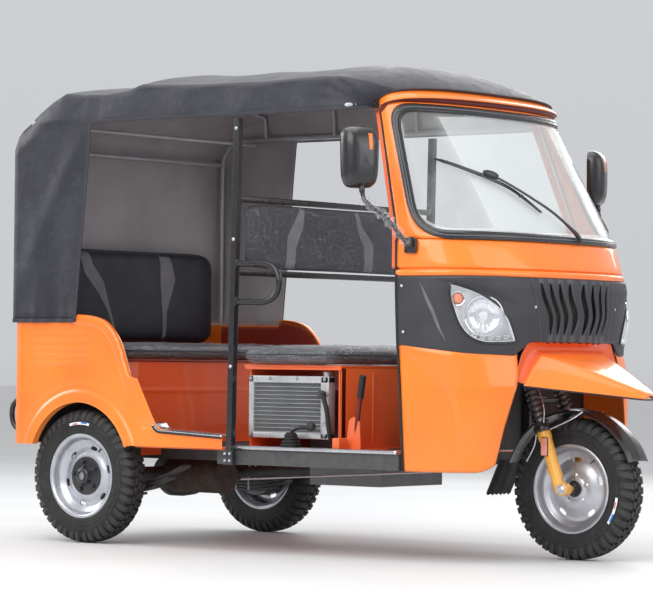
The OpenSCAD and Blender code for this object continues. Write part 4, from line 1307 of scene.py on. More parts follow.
# --- mirrors
for s in (-1, 1):
    nm = "left" if s > 0 else "right"
    fl = (lambda vf: vf) if s < 0 else mirrorY
    A = Acc()
    C = np.array([1503, -770, 1460.0])
    yaw = rot("Z", -22)
    # housing: superellipse sections from the glass side back to a domed rear
    nn = 40
    an = np.linspace(0, 2 * pi, nn, endpoint=False)
    ring = np.stack([np.sign(np.cos(an)) * np.abs(np.cos(an)) ** 0.5, np.sign(np.sin(an)) * np.abs(np.sin(an)) ** 0.42], 1)
    secs = [(-25, 0.0, 0), (-25, 0.88, 0), (-27, 0.93, 0), (-27, 0.97, 1), (-24, 1.0, 1), (-6, 1.0, 1), (10, 0.95, 1), (24, 0.84, 1), (34, 0.62, 1), (39, 0.32, 1), (40, 0.0, 1)]
    V, F, MI = [], [], []
    for (dx, k, mi) in secs:
        taper = 1 - 0.10 * ring[:, 1] * -1 * 0.5
        V.append(np.stack([np.full(nn, float(dx)), ring[:, 0] * 72 * k * taper, ring[:, 1] * 112 * k], 1))
    V = np.concatenate(V) @ yaw.T + C
    for i in range(len(secs) - 1):
        for j in range(nn):
            F.append((i * nn + j, i * nn + (j + 1) % nn, (i + 1) * nn + (j + 1) % nn, (i + 1) * nn + j))
            MI.append(0)
    vv, ff = fl((V, F))
    A.v.append(vv); A.f += [tuple(q) for q in ff]; A.m += [3 if secs[i // nn][1] < 0.9 and secs[i // nn][2] == 0 else 0 for i in range(len(ff))]; A.n += len(vv)
    # amber marker on the housing's back
    mk = []
    for dy in np.linspace(-9, 9, 7):
        mk.append([np.array([39.5 - 0.010 * ((dy + 22) ** 2 + (dz - 30) ** 2) ** 0.9 * 0.5 + 2.0 * (1 - (dy / 9) ** 2) * (1 - ((dz - 52) / 33) ** 2), dy + 22, dz]) for dz in np.linspace(19, 85, 13)])
    mk = np.array(mk)
    shx = np.array([[39.0 - 15.0 * (abs(p[1]) / 72) ** 2 - 20.0 * (abs(p[2]) / 112) ** 3 + 2.5 * math.sqrt(max(0, 1 - ((p[1] - 22) / 9.5) ** 2)) * math.sqrt(max(0, 1 - ((p[2] - 52) / 34) ** 2)) for p in r_] for r_ in mk])
    mk[..., 0] = shx
    B_ = mk.copy(); B_[..., 0] -= 6
    vf = shell_vf(mk.reshape(7, 13, 3) @ yaw.T + C, B_.reshape(7, 13, 3) @ yaw.T + C)
    A.add(fl(vf), 1)
    # ball joint, stalk, bracket
    st = spline([[1612, -625, 1150], [1610, -648, 1163], [1600, -690, 1205], [1580, -728, 1248], [1545, -756, 1280], [1520, -768, 1305], [1512, -770, 1330], [1508, -770, 1356]], 6)
    A.add(fl(tube_vf(st, np.interp(np.linspace(0, 1, len(st)), [0, 0.08, 0.12, 0.85, 0.9, 1], [12, 11, 8, 8, 11, 10]), 12)), 0)
    b0 = np.array([1612, -612, 1146.0])
    pl = fillet([(-24, -28), (24, -28), (26, -10), (26, 24), (12, 30), (-14, 30), (-24, 20)], 6, 3)
    v_, f_ = prism_vf(pl + [b0[0], b0[2]], -606.0, -618.0, "xz")
    A.add(fl((v_, f_)), 0)
    A.add(fl(rbox_vf([1600, -640, 1138], [1630, -616, 1164], 5)), 0)
    for (dx, dz) in ((-17, -20), (18, -20), (18, 18), (-15, 20)):
        A.add(fl(hexbolt_vf(b0 + [dx, -6, dz], (0, -1, 0), 4.6, 5)), 2)
    A.make("mirror_" + nm, [BLACKP, AMBER, BLUED, MIRROR], repl=("mirrors",), slot="black_paint")
    # clear wrapping round the stalk
    if s < 0:
        sp = st[4:34]
        L_ = len(sp)
        rr = 17 + 5 * np.sin(np.arange(L_) * 1.3) + 4 * np.sin(np.arange(L_) * 2.9 + 1)
        v_, f_ = tube_vf(sp, rr, 18, caps=False)
        v_ = v_ + 3.5 * vnoise(v_, 9)[:, None] * np.array([0.5, 0.6, 0.6])
        make("mirror_wrap", v_, f_, FILM, angle=20, weld=False)


# ------------------------------------------------------------ canopy: one continuous sheet
ROOF = np.array([[-344, 1642, 1622], [-330, 1664, 1640], [-295, 1690, 1660], [-240, 1740, 1702], [-170, 1786, 1745], [-100, 1828, 1776], [0, 1832, 1768],
                 [120, 1834, 1766], [235, 1844, 1776], [300, 1864, 1796], [400, 1862, 1790], [620, 1858, 1782], [900, 1858, 1780], [1200, 1862, 1786], [1300, 1850, 1782]], float)
LINING = None


def lining_mat():
    m = Mat("canopy_lining", "canopy_vinyl")
    base = m.ramp(m.noise(3.2, 5, 0.6), [(0.25, lin(150, 147, 150)), (0.75, lin(180, 176, 179))])
    wv = m.math("MAXIMUM", m.wave(300, m.map(), "X", 0.4), m.wave(300, m.map(), "Z", 0.4))
    nb = m.bump(wv, 0.1, 0.0006)
    nb = m.bump(m.noise(16, 4, 0.6, 0.8), 0.25, 0.006, nb)
    m.set(color=base, rough=m.range(m.noise(15, 4), 0.3, 0.7, 0.6, 0.75), normal=nb, sheen=0.2)
    return m.m


LINING = lining_mat()
# columns along x: the rear quarter, then the roof, then the front drawn in over the visor
NQ = 26
uq = np.linspace(0, 1, NQ) ** 0.9
xr_top = -344 + (66 + 344) * uq
xs_mid = np.concatenate([np.linspace(66, 1230, 74)[1:]])
NF = 18
bows = np.array([-80, 290, 720, 1120.0])


def roof_z(x):
    return np.interp(x, ROOF[:, 0], ROOF[:, 1]), np.interp(x, ROOF[:, 0], ROOF[:, 2])


def bow_sag(x, amp=7.0):
    x = np.asarray(x, float)
    d = np.min(np.abs(x[..., None] - bows), -1)
    return amp * np.clip(d / 190, 0, 1) ** 0.8


LVL, VAL, SHO, ROO = 22, 9, 7, 15   # quarter levels, valance, shoulder, half of the roof
uu = np.linspace(0, 1, ROO)


def section(x, xq=None):
    """Right half of a section from the bottom hem to the middle of the roof. xq moves the quarter's points along x."""
    cr, sh = roof_z(x)
    zv = min(1650.0, sh - 66)
    pts = []
    for k in range(LVL):
        w = k / (LVL - 1)
        z = 872 + (zv - 872) * w
        pts.append((xq(z) if xq else x, -643 + 0.0, z))
    for k in range(1, VAL + 1):
        w = k / VAL
        z = zv + (sh - 26 - zv) * w
        y = -643 + 17 * w ** 1.3
        pts.append((x, y, z))
    for k in range(1, SHO + 1):
        a = k / SHO * pi / 2
        y = -626 + 22 * (1 - cos(a)) + 10 * (k / SHO)
        z = sh - 26 + 24 * sin(a)
        pts.append((x, y, z))
    for k in range(1, ROO):
        u = 1 - uu[k]
        y = -594 * u
        z = sh - 2 + (cr - sh + 2) * (1 - u ** 2.2)
        pts.append((x, y, z))
    return np.array(pts)


secs = []
for i, x in enumerate(xr_top):
    f = uq[i]
    secs.append(section(x, xq=lambda z, f=f: -344 + (344 - 4 + 70 * np.clip((z - 872) / 778, 0, 1)) * f))
for x in xs_mid:
    secs.append(section(x))
last = secs[-1]
NP = len(last)
# hem over the visor
for i in range(1, NF + 1):
    w = i / NF
    P = np.zeros_like(last)
    for j in range(NP):
        if j < LVL:
            P[j] = last[j]
            u = 1.0; lift = -14.0 + 0 * j
        else:
            jj = (j - LVL + 1) / (NP - LVL)
            u = 1 - jj
            lift = 0.0
        lowfrac = max(0.0, 1 - (j - LVL + 1) / (VAL + SHO * 0.6)) if j >= LVL else 1.0
        yabs = abs(last[j, 1]) / 643.0
        uh = yabs ** 1.05
        c = (1 - min(1, uh) ** 2.5) ** 0.4
        tgt = np.array([1396 + (1543 - 1396) * c, -531 * min(1, uh), 1671 + (1735 - 1671) * c ** 0.35 + 2])
        tgt = tgt + lowfrac * np.array([-16.0, -2.0, -12.0])
        e = w ** 1.15
        ez = w ** 1.9
        src = last[j]
        P[j, 0] = src[0] + (tgt[0] - src[0]) * w
        P[j, 1] = src[1] + (tgt[1] - src[1]) * (w ** 1.7)
        P[j, 2] = src[2] + (tgt[2] - src[2]) * ez
    secs.append(P)
G = np.array(secs)                     # columns along x, rows across the right half
nx = len(G)
# relief: sag between bows, ripples, tie-down folds
X, Y, Z = G[..., 0], G[..., 1], G[..., 2]
js = np.arange(NP)[None, :]
roofw = sm(js, LVL + VAL, LVL + VAL + SHO + 3) * np.ones((nx, 1))
endw = 1 - sm(X, 1330, 1500)
Z = Z - bow_sag(X) * roofw * endw * (1 - 0.55 * (np.abs(Y) / 643) ** 2)
Z = Z + 2.6 * vnoise(np.stack([X, Y, X * 0], -1), 95, 2.0) * roofw * (0.4 + 0.6 * endw)
side = 1 - roofw
# quarter panel: long soft vertical folds, hem ripples gathered by its cord
q = (js < LVL) * np.ones((nx, 1))
fold = 5.0 * np.sin(X / 33 + 1.5 * np.sin(Z / 210)) * sm(1500 - Z, 0, 500) + 4.0 * vnoise(G, 120, 1.0)
hem = 4.5 * np.sin(X / 11.0 + 0.6 * np.sin(X / 37)) * np.exp(-(Z - 872) / 34.0)
edgew = 1 - np.exp(-(X + 344) / 40.0)
Y = Y + (fold * 0.8 + hem) * q * edgew * 0.9
# diagonal pull from the shoulder of the rear corner
Y = Y - 7.0 * q * np.exp(-(((Z - 1250) * 0.55 - (X + 180)) / 46.0) ** 2) * sm(Z, 900, 1100) * (1 - sm(Z, 1500, 1620)) * edgew
val = ((js >= LVL) & (js < LVL + VAL)) * np.ones((nx, 1))
Y = Y + val * (2.6 * np.sin(X / 52.0 + 0.8) + 2.2 * vnoise(G, 80, 4.0)) * (1 - 0.6 * sm(X, 1200, 1400))
# creases fanning out from the tie at the front pillar
for (dx, dz, am) in ((1.0, 0.42, 8.0), (1.0, 0.16, 7.0), (1.0, 0.75, 6.0)):
    d_ = (1392 - X) * dz - (Z - 1668)
    Y = Y + am * np.exp(-(d_ / 13.0) ** 2) * sm(X, 1120, 1300) * (1 - sm(X, 1380, 1400)) * (Z < 1790) * (js < LVL + VAL + SHO)
G = np.stack([X, Y, Z], -1)
L = G * [1, -1, 1]
L[..., 1] += 0.0
full = np.concatenate([G, L[:, ::-1][:, 1:]], 1)
# slightly different folds on the left
full[:, NP:, 2] += 1.5 * vnoise(full[:, NP:], 70, 9.0) * np.concatenate([roofw, roofw[:, ::-1][:, 1:]], 1)[:, NP:]
nf = full.shape[1]
v_, f_ = sheet_vf(full)
fs, k = [], 0
for i in range(nx - 1):
    for j in range(nf - 1):
        jj = j if j < NP - 1 else nf - 2 - j
        if i < NQ - 1 or jj >= LVL - 1:
            fs.append(f_[k])
        k += 1
# rear wall, sharing the rear section's points
r0 = full[0]
top = r0[LVL - 1:nf - LVL + 1]
M = len(top)
rear = np.zeros((LVL, M, 3))
for r_ in range(LVL):
    w = r_ / (LVL - 1)
    for k in range(M):
        rear[r_, k] = [0, top[k, 1], 872 + (top[k, 2] - 872) * w]
    lft, rgt = r0[r_], r0[nf - 1 - r_]
    s_ = (rear[r_, :, 1] - rear[r_, 0, 1]) / (rear[r_, -1, 1] - rear[r_, 0, 1])
    rear[r_, :, 1] = lft[1] + (rgt[1] - lft[1]) * s_
    b = 1 - np.abs(2 * s_ - 1) ** 10
    rear[r_, :, 0] = -344 - 9 * b - b * (3.0 * vnoise(rear[r_], 130, 5.0) + 2.0) * (1 - w ** 6) - 3.5 * b * np.sin(rear[r_, :, 1] / 12.0) * math.exp(-w * 778 / 30)
    if r_ == LVL - 1:
        rear[r_] = top
base = len(v_)
v_ = np.concatenate([v_, rear.reshape(-1, 3)])
fs += grid_faces(LVL, M, base=base)
me_v = v_


def orient(v, f, c):
    """Turns every face of a hood away from the point c."""
    out = []
    for q in f:
        p = v[list(q)]
        n = np.cross(p[2] - p[0], p[3] - p[1])
        out.append(q if np.dot(n, p.mean(0) - c) > 0 else q[::-1])
    return out


fs = orient(v_, fs, np.array([500, 0, 1150.0]))
ar = 0.0
for q in fs:
    p = v_[list(q)] / 1000
    ar += np.linalg.norm(np.cross(p[2] - p[0], p[3] - p[1])) / 2
CANOPY_AREA = ar
o = make("canopy_sheet", v_, fs, [VINYL, LINING], repl=("canopy_roof", "canopy_sides", "canopy_rear"), slot="canopy_vinyl", weld=False, angle=180)
bm = bmesh.new(); bm.from_mesh(o.data)
bmesh.ops.remove_doubles(bm, verts=bm.verts, dist=1e-5)
loose = [v for v in bm.verts if not v.link_faces]
bmesh.ops.delete(bm, geom=loose, context="VERTS")
bm.to_mesh(o.data); bm.free()
m = o.modifiers.new("cloth", "SOLIDIFY")
m.thickness, m.offset, m.material_offset, m.material_offset_rim = 0.0026, -1, 1, 0
canopy = o
# hem binding along the lower and front edges, and the bottom rear hem
A = Acc()
hemR = [G[i, 0] for i in range(NQ)]
A.add(tube_vf(np.array(hemR) + [0, -1.2, 1], 1.0, 8, flat=(4.5, 16), up=[0, 1, 0]), 0, mirror=True)
vh = np.array([G[i, LVL - 1] for i in range(NQ - 1, nx)])
A.add(tube_vf(vh + [0, -0.6, 4], 1.0, 8, flat=(4, 13), up=[0, 1, 0]), 0, mirror=True)
vq = np.array([G[NQ - 1, j] for j in range(LVL)])
A.add(tube_vf(vq + [-4, 0, 0], 1.0, 8, flat=(4, 13), up=[0, 1, 0]), 0, mirror=True)
hf = full[-1][LVL - 1:nf - LVL + 1]
A.add(tube_vf(hf + [0, 0, 0.8], 1.0, 8, flat=(4.5, 11)), 0)
hb = rear[0]
A.add(tube_vf(hb + [-0.6, 0, 2], 1.0, 8, flat=(4, 16), up=[1, 0, 0]), 0)
HEM = satin("hem_binding", "canopy_vinyl", lin(40, 40, 48), rough=0.5, grain=700, gs=0.3)
o = A.make("canopy_hem", [HEM])
o if False else None
# ties at the front pillars
A = Acc()
for s in (-1, 1):
    p = spline([[1380, 531 * s, 1672], [1386, 536 * s, 1660], [1392, 533 * s, 1668], [1396, 528 * s, 1656], [1390, 534 * s, 1640]], 6)
    A.add(tube_vf(p, 2.4, 8), 0)
    p = spline([[1340, 560 * s, 1700], [1362, 548 * s, 1684], [1388, 531 * s, 1672]], 6)
    A.add(tube_vf(p, 2.2, 8), 0)
A.make("canopy_ties", [BLACKP], slot="rubber")
# tube bows, rails and the cross tubes that carry them
A = Acc()
for x in bows:
    cr, sh = roof_z(x)
    yy = np.linspace(-1, 1, 41)
    p = np.stack([np.full(41, x), yy * 606, sh - 22 + (cr - sh + 2) * (1 - np.abs(yy) ** 2.6)], -1)
    p = np.concatenate([[[x, -616, 1662]], p, [[x, 616, 1662]]])
    A.add(tube_vf(spline(p, 2), 9, 12), 0)
for s in (-1, 1):
    A.add(tube_vf(spline([[-222, -616 * s, 1650], [-200, -616 * s, 1664], [700, -616 * s, 1664], [1240, -612 * s, 1666], [1330, -576 * s, 1672]], 8), 9.5, 12), 0)
    A.add(tube_vf(spline([[-318, -612 * s, 880], [-318, -612 * s, 1500], [-310, -612 * s, 1590], [-270, -612 * s, 1640], [-215, -614 * s, 1664]], 8), 9.5, 12), 0)
A.add(tube_vf([[-316, -604, 1560], [-316, 604, 1560]], 8, 12), 0)
A.add(tube_vf([[-130, -606, 1640], [-130, 606, 1640]], 8, 12), 0)
o = A.make("canopy_tubes", [satin("bow_steel", "tube_steel", lin(168, 170, 175), rough=0.36, grain=300, gs=0.05, metal=0.25)], repl=("canopy_frame",), slot="tube_steel")


# ------------------------------------------------------------ wheels
def ring_prof(pts):
    return [(h, r) for h, r in pts]


def wheel(nm, body, centre, out, front, tyre_node, rim_node):
    """out is +1 or -1 along y: the side that shows the disc's face."""
    ax = (0, out, 0)
    c = np.array(centre, float)
    # tyre: carcass
    half = [(44.4, 153.4), (46.6, 160), (47.5, 166.6), (52.5, 168.5), (54.3, 176), (55.3, 186), (55.0, 188), (55.9, 190), (56, 200), (55.6, 204), (56.0, 206), (55.8, 214), (54.6, 224), (52.6, 233), (50.0, 240), (46, 246), (40, 250.3), (30, 252.8), (18, 254), (6, 254.4)]
    prof = [(-h, r) for h, r in half] + [(h, r) for h, r in half[::-1]]
    A = Acc()
    A.add(lathe_vf(prof, c, ax, 96, closed=True), 0)
    a_, u_, w_ = basis(ax)

    def P(h, r, an):
        return c + a_ * h + r * (u_ * cos(an) + w_ * sin(an))

    N = 44
    for k in range(N):
        a0 = 2 * pi * k / N
        for s in (-1, 1):
            da = pi / N if s > 0 else 0.0
            # shoulder lug: wraps from the tread over the shoulder
            w0 = 0.62 * pi / N
            lug = [(24, 252.5, 261.2), (34, 250.8, 260.0), (44, 246.4, 256.8), (51.0, 238.4, 246.5), (54.4, 228.0, 232.0), (55.4, 220.0, 221.2)]
            top, bot = [], []
            for i, (h, rb, rt) in enumerate(lug):
                sk = 0.18 * (i - 1) * pi / N * (1 if k % 2 else 0.4)
                wd = w0 * (1.0 if i < 4 else 0.8 - 0.18 * (i - 4))
                dh = 0 if i < 3 else (1.2 if i == 3 else 1.3)
                top.append([P(s * (h + dh), rt, a0 + da + sk - wd), P(s * (h + dh), rt, a0 + da + sk + wd)])
                bot.append([P(s * (h - 2), rb - 2, a0 + da + sk - wd * 1.12), P(s * (h - 2), rb - 2, a0 + da + sk + wd * 1.12)])
            A.add(shell_vf(np.array(top), np.array(bot)), 0)
            # centre blocks, zigzag
            top, bot = [], []
            for i, h in enumerate((2.5, 10, 18.5)):
                sk = (0.35 if i == 1 else 0.0) * pi / N
                wd = 0.66 * pi / N
                rt = 262 - 0.0028 * h * h
                top.append([P(s * h, rt, a0 + da + sk - wd), P(s * h, rt, a0 + da + sk + wd)])
                bot.append([P(s * h * 0.97, 252, a0 + da + sk - wd * 1.1), P(s * h * 0.97, 252, a0 + da + sk + wd * 1.1)])
            A.add(shell_vf(np.array(top), np.array(bot)), 0)
    # raised ribs of the sidewall
    for s in (-1, 1):
        for r in (196, 217):
            A.add(lathe_vf([(s * 55.0, r - 1.6), (s * 56.6, r - 0.7), (s * 56.6, r + 0.7), (s * 55.0, r + 1.6)], c, ax, 96, closed=True), 0)
    # generic coloured stripes lying on the sidewall
    mats = [TYRE, STICK_W, STICK_B, STICK_R]
    st0 = {"front": -0.62, "rear": 1.35}["front" if front else "rear"]
    for (d0, d1, r0_, r1_, mi) in ((0.0, 0.50, 202, 212, 1), (0.05, 0.2, 206, 213, 2), (0.3, 0.42, 203, 208, 3)):
        an = np.linspace(st0 + d0, st0 + d1, 14)
        dh = 0.5 if mi == 1 else 0.9
        if out > 0:
            an = pi - an
        top = np.array([[P(56.3 + dh, r, t) for r in (r0_, (r0_ + r1_) / 2, r1_)] for t in an])
        bot = np.array([[P(54.6, r, t) for r in (r0_, (r0_ + r1_) / 2, r1_)] for t in an])
        A.add(shell_vf(top, bot), mi)
    A.make(nm + "_tyre_tread", mats, body=body, repl=(tyre_node,), angle=35)
    # rim
    if front:
        disc = [(50.5, 166), (52, 163), (51.6, 158), (48, 152.6), (42, 149.6), (38, 147.6), (34, 147), (24, 146.2), (19, 143), (16.5, 137), (14, 131), (9.5, 124), (8, 118), (8.5, 108), (11, 98), (15, 86), (18.5, 74), (20, 64), (19, 52), (21, 44), (24, 38), (24, 8.35),
                (18, 8.35), (18, 36), (14, 46), (13, 62), (11.5, 74), (8, 86), (4, 98), (1.5, 108), (1, 120), (6, 134), (10, 140), (20, 142.6), (-20, 142.6), (-36, 143.6), (-47, 151), (-50.5, 158), (-50.5, 166), (-47.5, 166), (-44.8, 152.9), (44.8, 152.9), (47.5, 166)]
    else:
        disc = [(50.5, 166), (52, 163), (51.6, 158), (48, 152.6), (42, 149.6), (38, 147.6), (34, 147), (24, 146.2), (19, 143), (16.5, 137), (12, 130), (7, 122), (5, 114), (7, 104), (12, 94), (16, 86), (17, 78), (17, 17.85),
                (11, 17.85), (11, 76), (9, 88), (3, 100), (-1, 112), (-1, 122), (6, 134), (10, 140), (20, 142.6), (-20, 142.6), (-36, 143.6), (-47, 151), (-50.5, 158), (-50.5, 166), (-47.5, 166), (-44.8, 152.9), (44.8, 152.9), (47.5, 166)]
    v, f = lathe_vf(disc, c, ax, 96, closed=True)
    o = make(nm + "_rim_disc", v, f, RIM, body=body, repl=(rim_node,), angle=35, weld=False)
    nh = 5 if front else 6
    cuts = []
    rh, hw_, hl_ = (107, 9.5, 19) if front else (111, 9, 17)
    for k in range(nh):
        an = 2 * pi * (k + 0.25) / nh
        tang = -u_ * sin(an) + w_ * cos(an)
        radl = u_ * cos(an) + w_ * sin(an)
        m_ = c + rh * radl
        t = np.linspace(0, 2 * pi, 22, endpoint=False)
        loop = np.array([m_ + tang * (hl_ * math.copysign(abs(cos(q)) ** 0.8, cos(q))) + radl * (hw_ * math.copysign(abs(sin(q)) ** 0.8, sin(q))) for q in t])
        n_ = len(loop)
        vv = np.concatenate([loop - a_ * 12, loop + a_ * 34])
        ff = [tuple(range(n_))[::-1], tuple(range(n_, 2 * n_))] + [(i, (i + 1) % n_, n_ + (i + 1) % n_, n_ + i) for i in range(n_)]
        cuts.append((vv, ff))
    allv = np.concatenate([cv for cv, _ in cuts])
    allf, b_ = [], 0
    for cv, cf in cuts:
        allf += [tuple(i + b_ for i in q) for q in cf]
        b_ += len(cv)
    cut(o, (allv, allf))
    # valve, hub, nuts
    A = Acc()
    vd = u_ * cos(0.9) + w_ * sin(0.9)
    A.add(cyl_vf(c + vd * 140 + a_ * 24, c + vd * 122 + a_ * 34, 4.2, 12, 1.5), 0)
    if front:
        A.add(lathe_vf([(23, 8.6), (23, 30), (26, 31), (30, 29), (31, 25), (40, 24), (44, 22), (46, 16), (46, 8.6)], c, ax, 40, closed=True), 0)
        A.add(lathe_vf([(46, 9), (46, 14.5), (52, 14.5), (54, 12.5), (54, 9)], c, ax, 6, closed=True), 1)
        A.add(lathe_vf([(-62, 8.6), (-62, 24), (-20, 34), (16, 34), (16, 8.6)], c, ax, 40, closed=True), 0)
        for k in range(5):
            an = 2 * pi * k / 5 + 0.3
            A.add(hexbolt_vf(c + a_ * 19.5 + 50 * (u_ * cos(an) + w_ * sin(an)), a_, 7, 7), 2)
    else:
        A.add(lathe_vf([(16.5, 18.2), (16.5, 74), (19, 76), (23, 74), (24, 60), (26, 40), (34, 34), (44, 31), (47, 27), (48, 18.2)], c, ax, 48, closed=True), 0)
        for k in range(5):
            an = 2 * pi * k / 5 + 0.5
            A.add(hexbolt_vf(c + a_ * 23 + 57 * (u_ * cos(an) + w_ * sin(an)), a_, 9.5, 12), 3)
            A.add(dome_vf(c + a_ * 34.5 + 57 * (u_ * cos(an) + w_ * sin(an)), a_, 4.6, 3), 3)
        A.add(lathe_vf([(47, 18.2), (47, 23), (53, 22), (54, 18.2)], c, ax, 36, closed=True), 0)
        A.add(lathe_vf([(-85, 36), (-85, 104), (-78, 106), (6, 106), (8, 100), (8, 36)], c, ax, 64, closed=True), 4)
    A.make(nm + "_hub", [BLACKP, BRASS, BRIGHT, BLUED, ENGINE], body=body, slot="rim_steel", angle=35)


wheel("front", "front_wheel", (WB, 0, R), -1, True, "front_tyre", "front_rim")
wheel("rear_right", "rear_wheel_right", (0, -TRACK / 2, R), -1, False, "rear_right_tyre", "rear_right_rim")
wheel("rear_left", "rear_wheel_left", (0, TRACK / 2, R), 1, False, "rear_left_tyre", "rear_left_rim")


# ------------------------------------------------------------ rear body
def boolean(o, vf, op):
    v, f = vf
    me = bpy.data.meshes.new("cutter")
    me.from_pydata(rows(v).tolist(), [], [tuple(q) for q in f])
    bm = bmesh.new(); bm.from_mesh(me); bmesh.ops.recalc_face_normals(bm, faces=bm.faces); bm.to_mesh(me); bm.free()
    c = bpy.data.objects.new("cutter", me)
    scene.collection.objects.link(c)
    m = o.modifiers.new("cut", "BOOLEAN")
    m.operation, m.object, m.solver = op, c, "EXACT"
    solid_apply(o)
    bpy.data.objects.remove(c)
    bpy.data.meshes.remove(me)
    return o


OUT = np.array([(-338, 383), (-338, 871), (-4, 871), (-4, 896), (40, 894), (92, 887), (135, 874), (163, 856), (194, 826), (216, 795), (235, 757), (256, 700), (271, 659), (316, 649),
                (340, 606), (380, 534), (418, 468), (440, 458), (500, 452), (752, 436), (752, 389), (270, 389), (270, 383)], float)
FE = spline([(-4, 896), (40, 894), (92, 887), (135, 874), (163, 856), (194, 826), (216, 795), (235, 757), (256, 700), (271, 659), (300, 560), (322, 470), (336, 389)], 8)


def dist_to(path, x, z):
    d = np.full(x.shape, 1e9)
    for a, b in zip(path[:-1], path[1:]):
        ab = b - a
        t = np.clip(((x - a[0]) * ab[0] + (z - a[1]) * ab[1]) / (ab @ ab), 0, 1)
        d = np.minimum(d, np.hypot(x - a[0] - t * ab[0], z - a[1] - t * ab[1]))
    return d


def side_relief(x, z):
    d = np.hypot(x - 15, z - 290)
    o = 11.0 * (1 - sm(d, 298, 322)) * (z < 640)
    o = np.maximum(o, 3.0 * (1 - sm(d, 322, 360)) * (z < 700))
    df = dist_to(FE, x, z)
    o = o + 6.0 * (1 - sm(df, 30, 40)) * sm(z, 560, 700)
    o = o - 7.0 * (1 - sm(df, 0, 9)) ** 2 * sm(z, 600, 680)
    for zr in (826, 796, 762, 734, 704):
        o = o + 2.6 * np.exp(-((z - zr) / 4.5) ** 2) * sm(x, -250, -215) * (1 - sm(x, 40, 90)) * sm(df, 40, 60)
    o = o - 9.0 * (1 - sm(x, -338, -312)) ** 1.5
    o = o + 2.5 * (1 - sm(np.abs(x + 305), 0, 9))
    o = o + 1.0 * vnoise(np.stack([x, x * 0, z], -1), 160, 3.0)
    o = o + 5.0 * sm(x, 330, 360) * (1 - sm(z, 452, 466))
    o = o + 2.5 * sm(x, 300, 330) * sm(z, 470, 500)
    return np.maximum(o, -9)


def poly_inside(P, x, z):
    c = np.zeros(x.shape, bool)
    for (x1, z1), (x2, z2) in zip(P, np.roll(P, -1, 0)):
        if z1 == z2:
            continue
        c ^= ((z1 > z) != (z2 > z)) & (x < (x2 - x1) * (z - z1) / (z2 - z1) + x1)
    return c


def snapped_plate(P, step=5.0):
    """Grid of cells inside an outline, its rim vertices pulled onto the outline."""
    gx = np.arange(P[:, 0].min() - step, P[:, 0].max() + 2 * step, step)
    gz = np.arange(P[:, 1].min() - step, P[:, 1].max() + 2 * step, step)
    X_, Z_ = np.meshgrid(gx, gz, indexing="ij")
    keep = poly_inside(P, X_[:-1, :-1] + step / 2, Z_[:-1, :-1] + step / 2)
    touch = np.zeros(X_.shape, int)
    for a in (0, 1):
        for b in (0, 1):
            touch[a:a + keep.shape[0], b:b + keep.shape[1]] += keep
    rim_ = (touch > 0) & (touch < 4)
    xi, zi = X_[rim_], Z_[rim_]
    best = np.full(xi.shape, 1e9); bx, bz = xi.copy(), zi.copy()
    for a, b in zip(P, np.roll(P, -1, 0)):
        ab = b - a
        t = np.clip(((xi - a[0]) * ab[0] + (zi - a[1]) * ab[1]) / max(ab @ ab, 1e-9), 0, 1)
        qx, qz = a[0] + t * ab[0], a[1] + t * ab[1]
        d = np.hypot(xi - qx, zi - qz)
        k = d < best
        best[k], bx[k], bz[k] = d[k], qx[k], qz[k]
    X_[rim_], Z_[rim_] = bx, bz
    n_, m_ = X_.shape
    idx = np.full(n_ * m_, -1)
    used = touch.ravel() > 0
    idx[used] = np.arange(used.sum())
    x, z = X_.ravel()[used], Z_.ravel()[used]
    N_ = len(x)
    quads = []
    edges = {}
    for i in range(n_ - 1):
        for j in range(m_ - 1):
            if keep[i, j]:
                q = [idx[i * m_ + j], idx[(i + 1) * m_ + j], idx[(i + 1) * m_ + j + 1], idx[i * m_ + j + 1]]
                quads.append(q)
                for a, b in zip(q, q[1:] + q[:1]):
                    edges[(a, b)] = 1
    faces = [tuple(q) for q in quads] + [tuple(k + N_ for k in reversed(q)) for q in quads]
    faces += [(b, a, a + N_, b + N_) for (a, b) in edges if (b, a) not in edges]
    return x, z, faces


an = np.linspace(np.arccos(244.9 / 262), pi - np.arccos(244.9 / 262), 90)
POLY = np.concatenate([OUT, np.stack([15 + 262 * np.cos(an), 290 + 262 * np.sin(an)], -1)])
px_r, pz_r, fr_ = snapped_plate(POLY)
ry = side_relief(px_r, pz_r)
vv = np.concatenate([np.stack([px_r, -634 - ry, pz_r], -1), np.stack([px_r, -631 - ry, pz_r], -1)])
for s, nm_ in ((1, "rear_side_right"), (-1, "rear_side_left")):
    make(nm_, vv * [1, s, 1], fr_ if s > 0 else [q[::-1] for q in fr_], ORANGE, repl=("rear_body_sides",), angle=40, weld=False)
# inner liners of the rear body sides, in deep maroon: painted shade
LIN = np.array([(-325, 560), (-325, 866), (-4, 866), (-4, 884), (92, 876), (135, 862), (163, 844), (192, 814), (212, 785), (228, 750), (245, 700), (262, 648), (300, 560)], float)
px_r, pz_r, fr_ = snapped_plate(LIN, 12.0)
vv = np.concatenate([np.stack([px_r, -622 + 0 * px_r, pz_r], -1), np.stack([px_r, -620 + 0 * px_r, pz_r], -1)])
for s, nm_ in ((1, "rear_liner_right"), (-1, "rear_liner_left")):
    make(nm_, vv * [1, s, 1], fr_ if s > 0 else [q[::-1] for q in fr_], ORANGE_DEEP_SHADE, angle=40, weld=False)
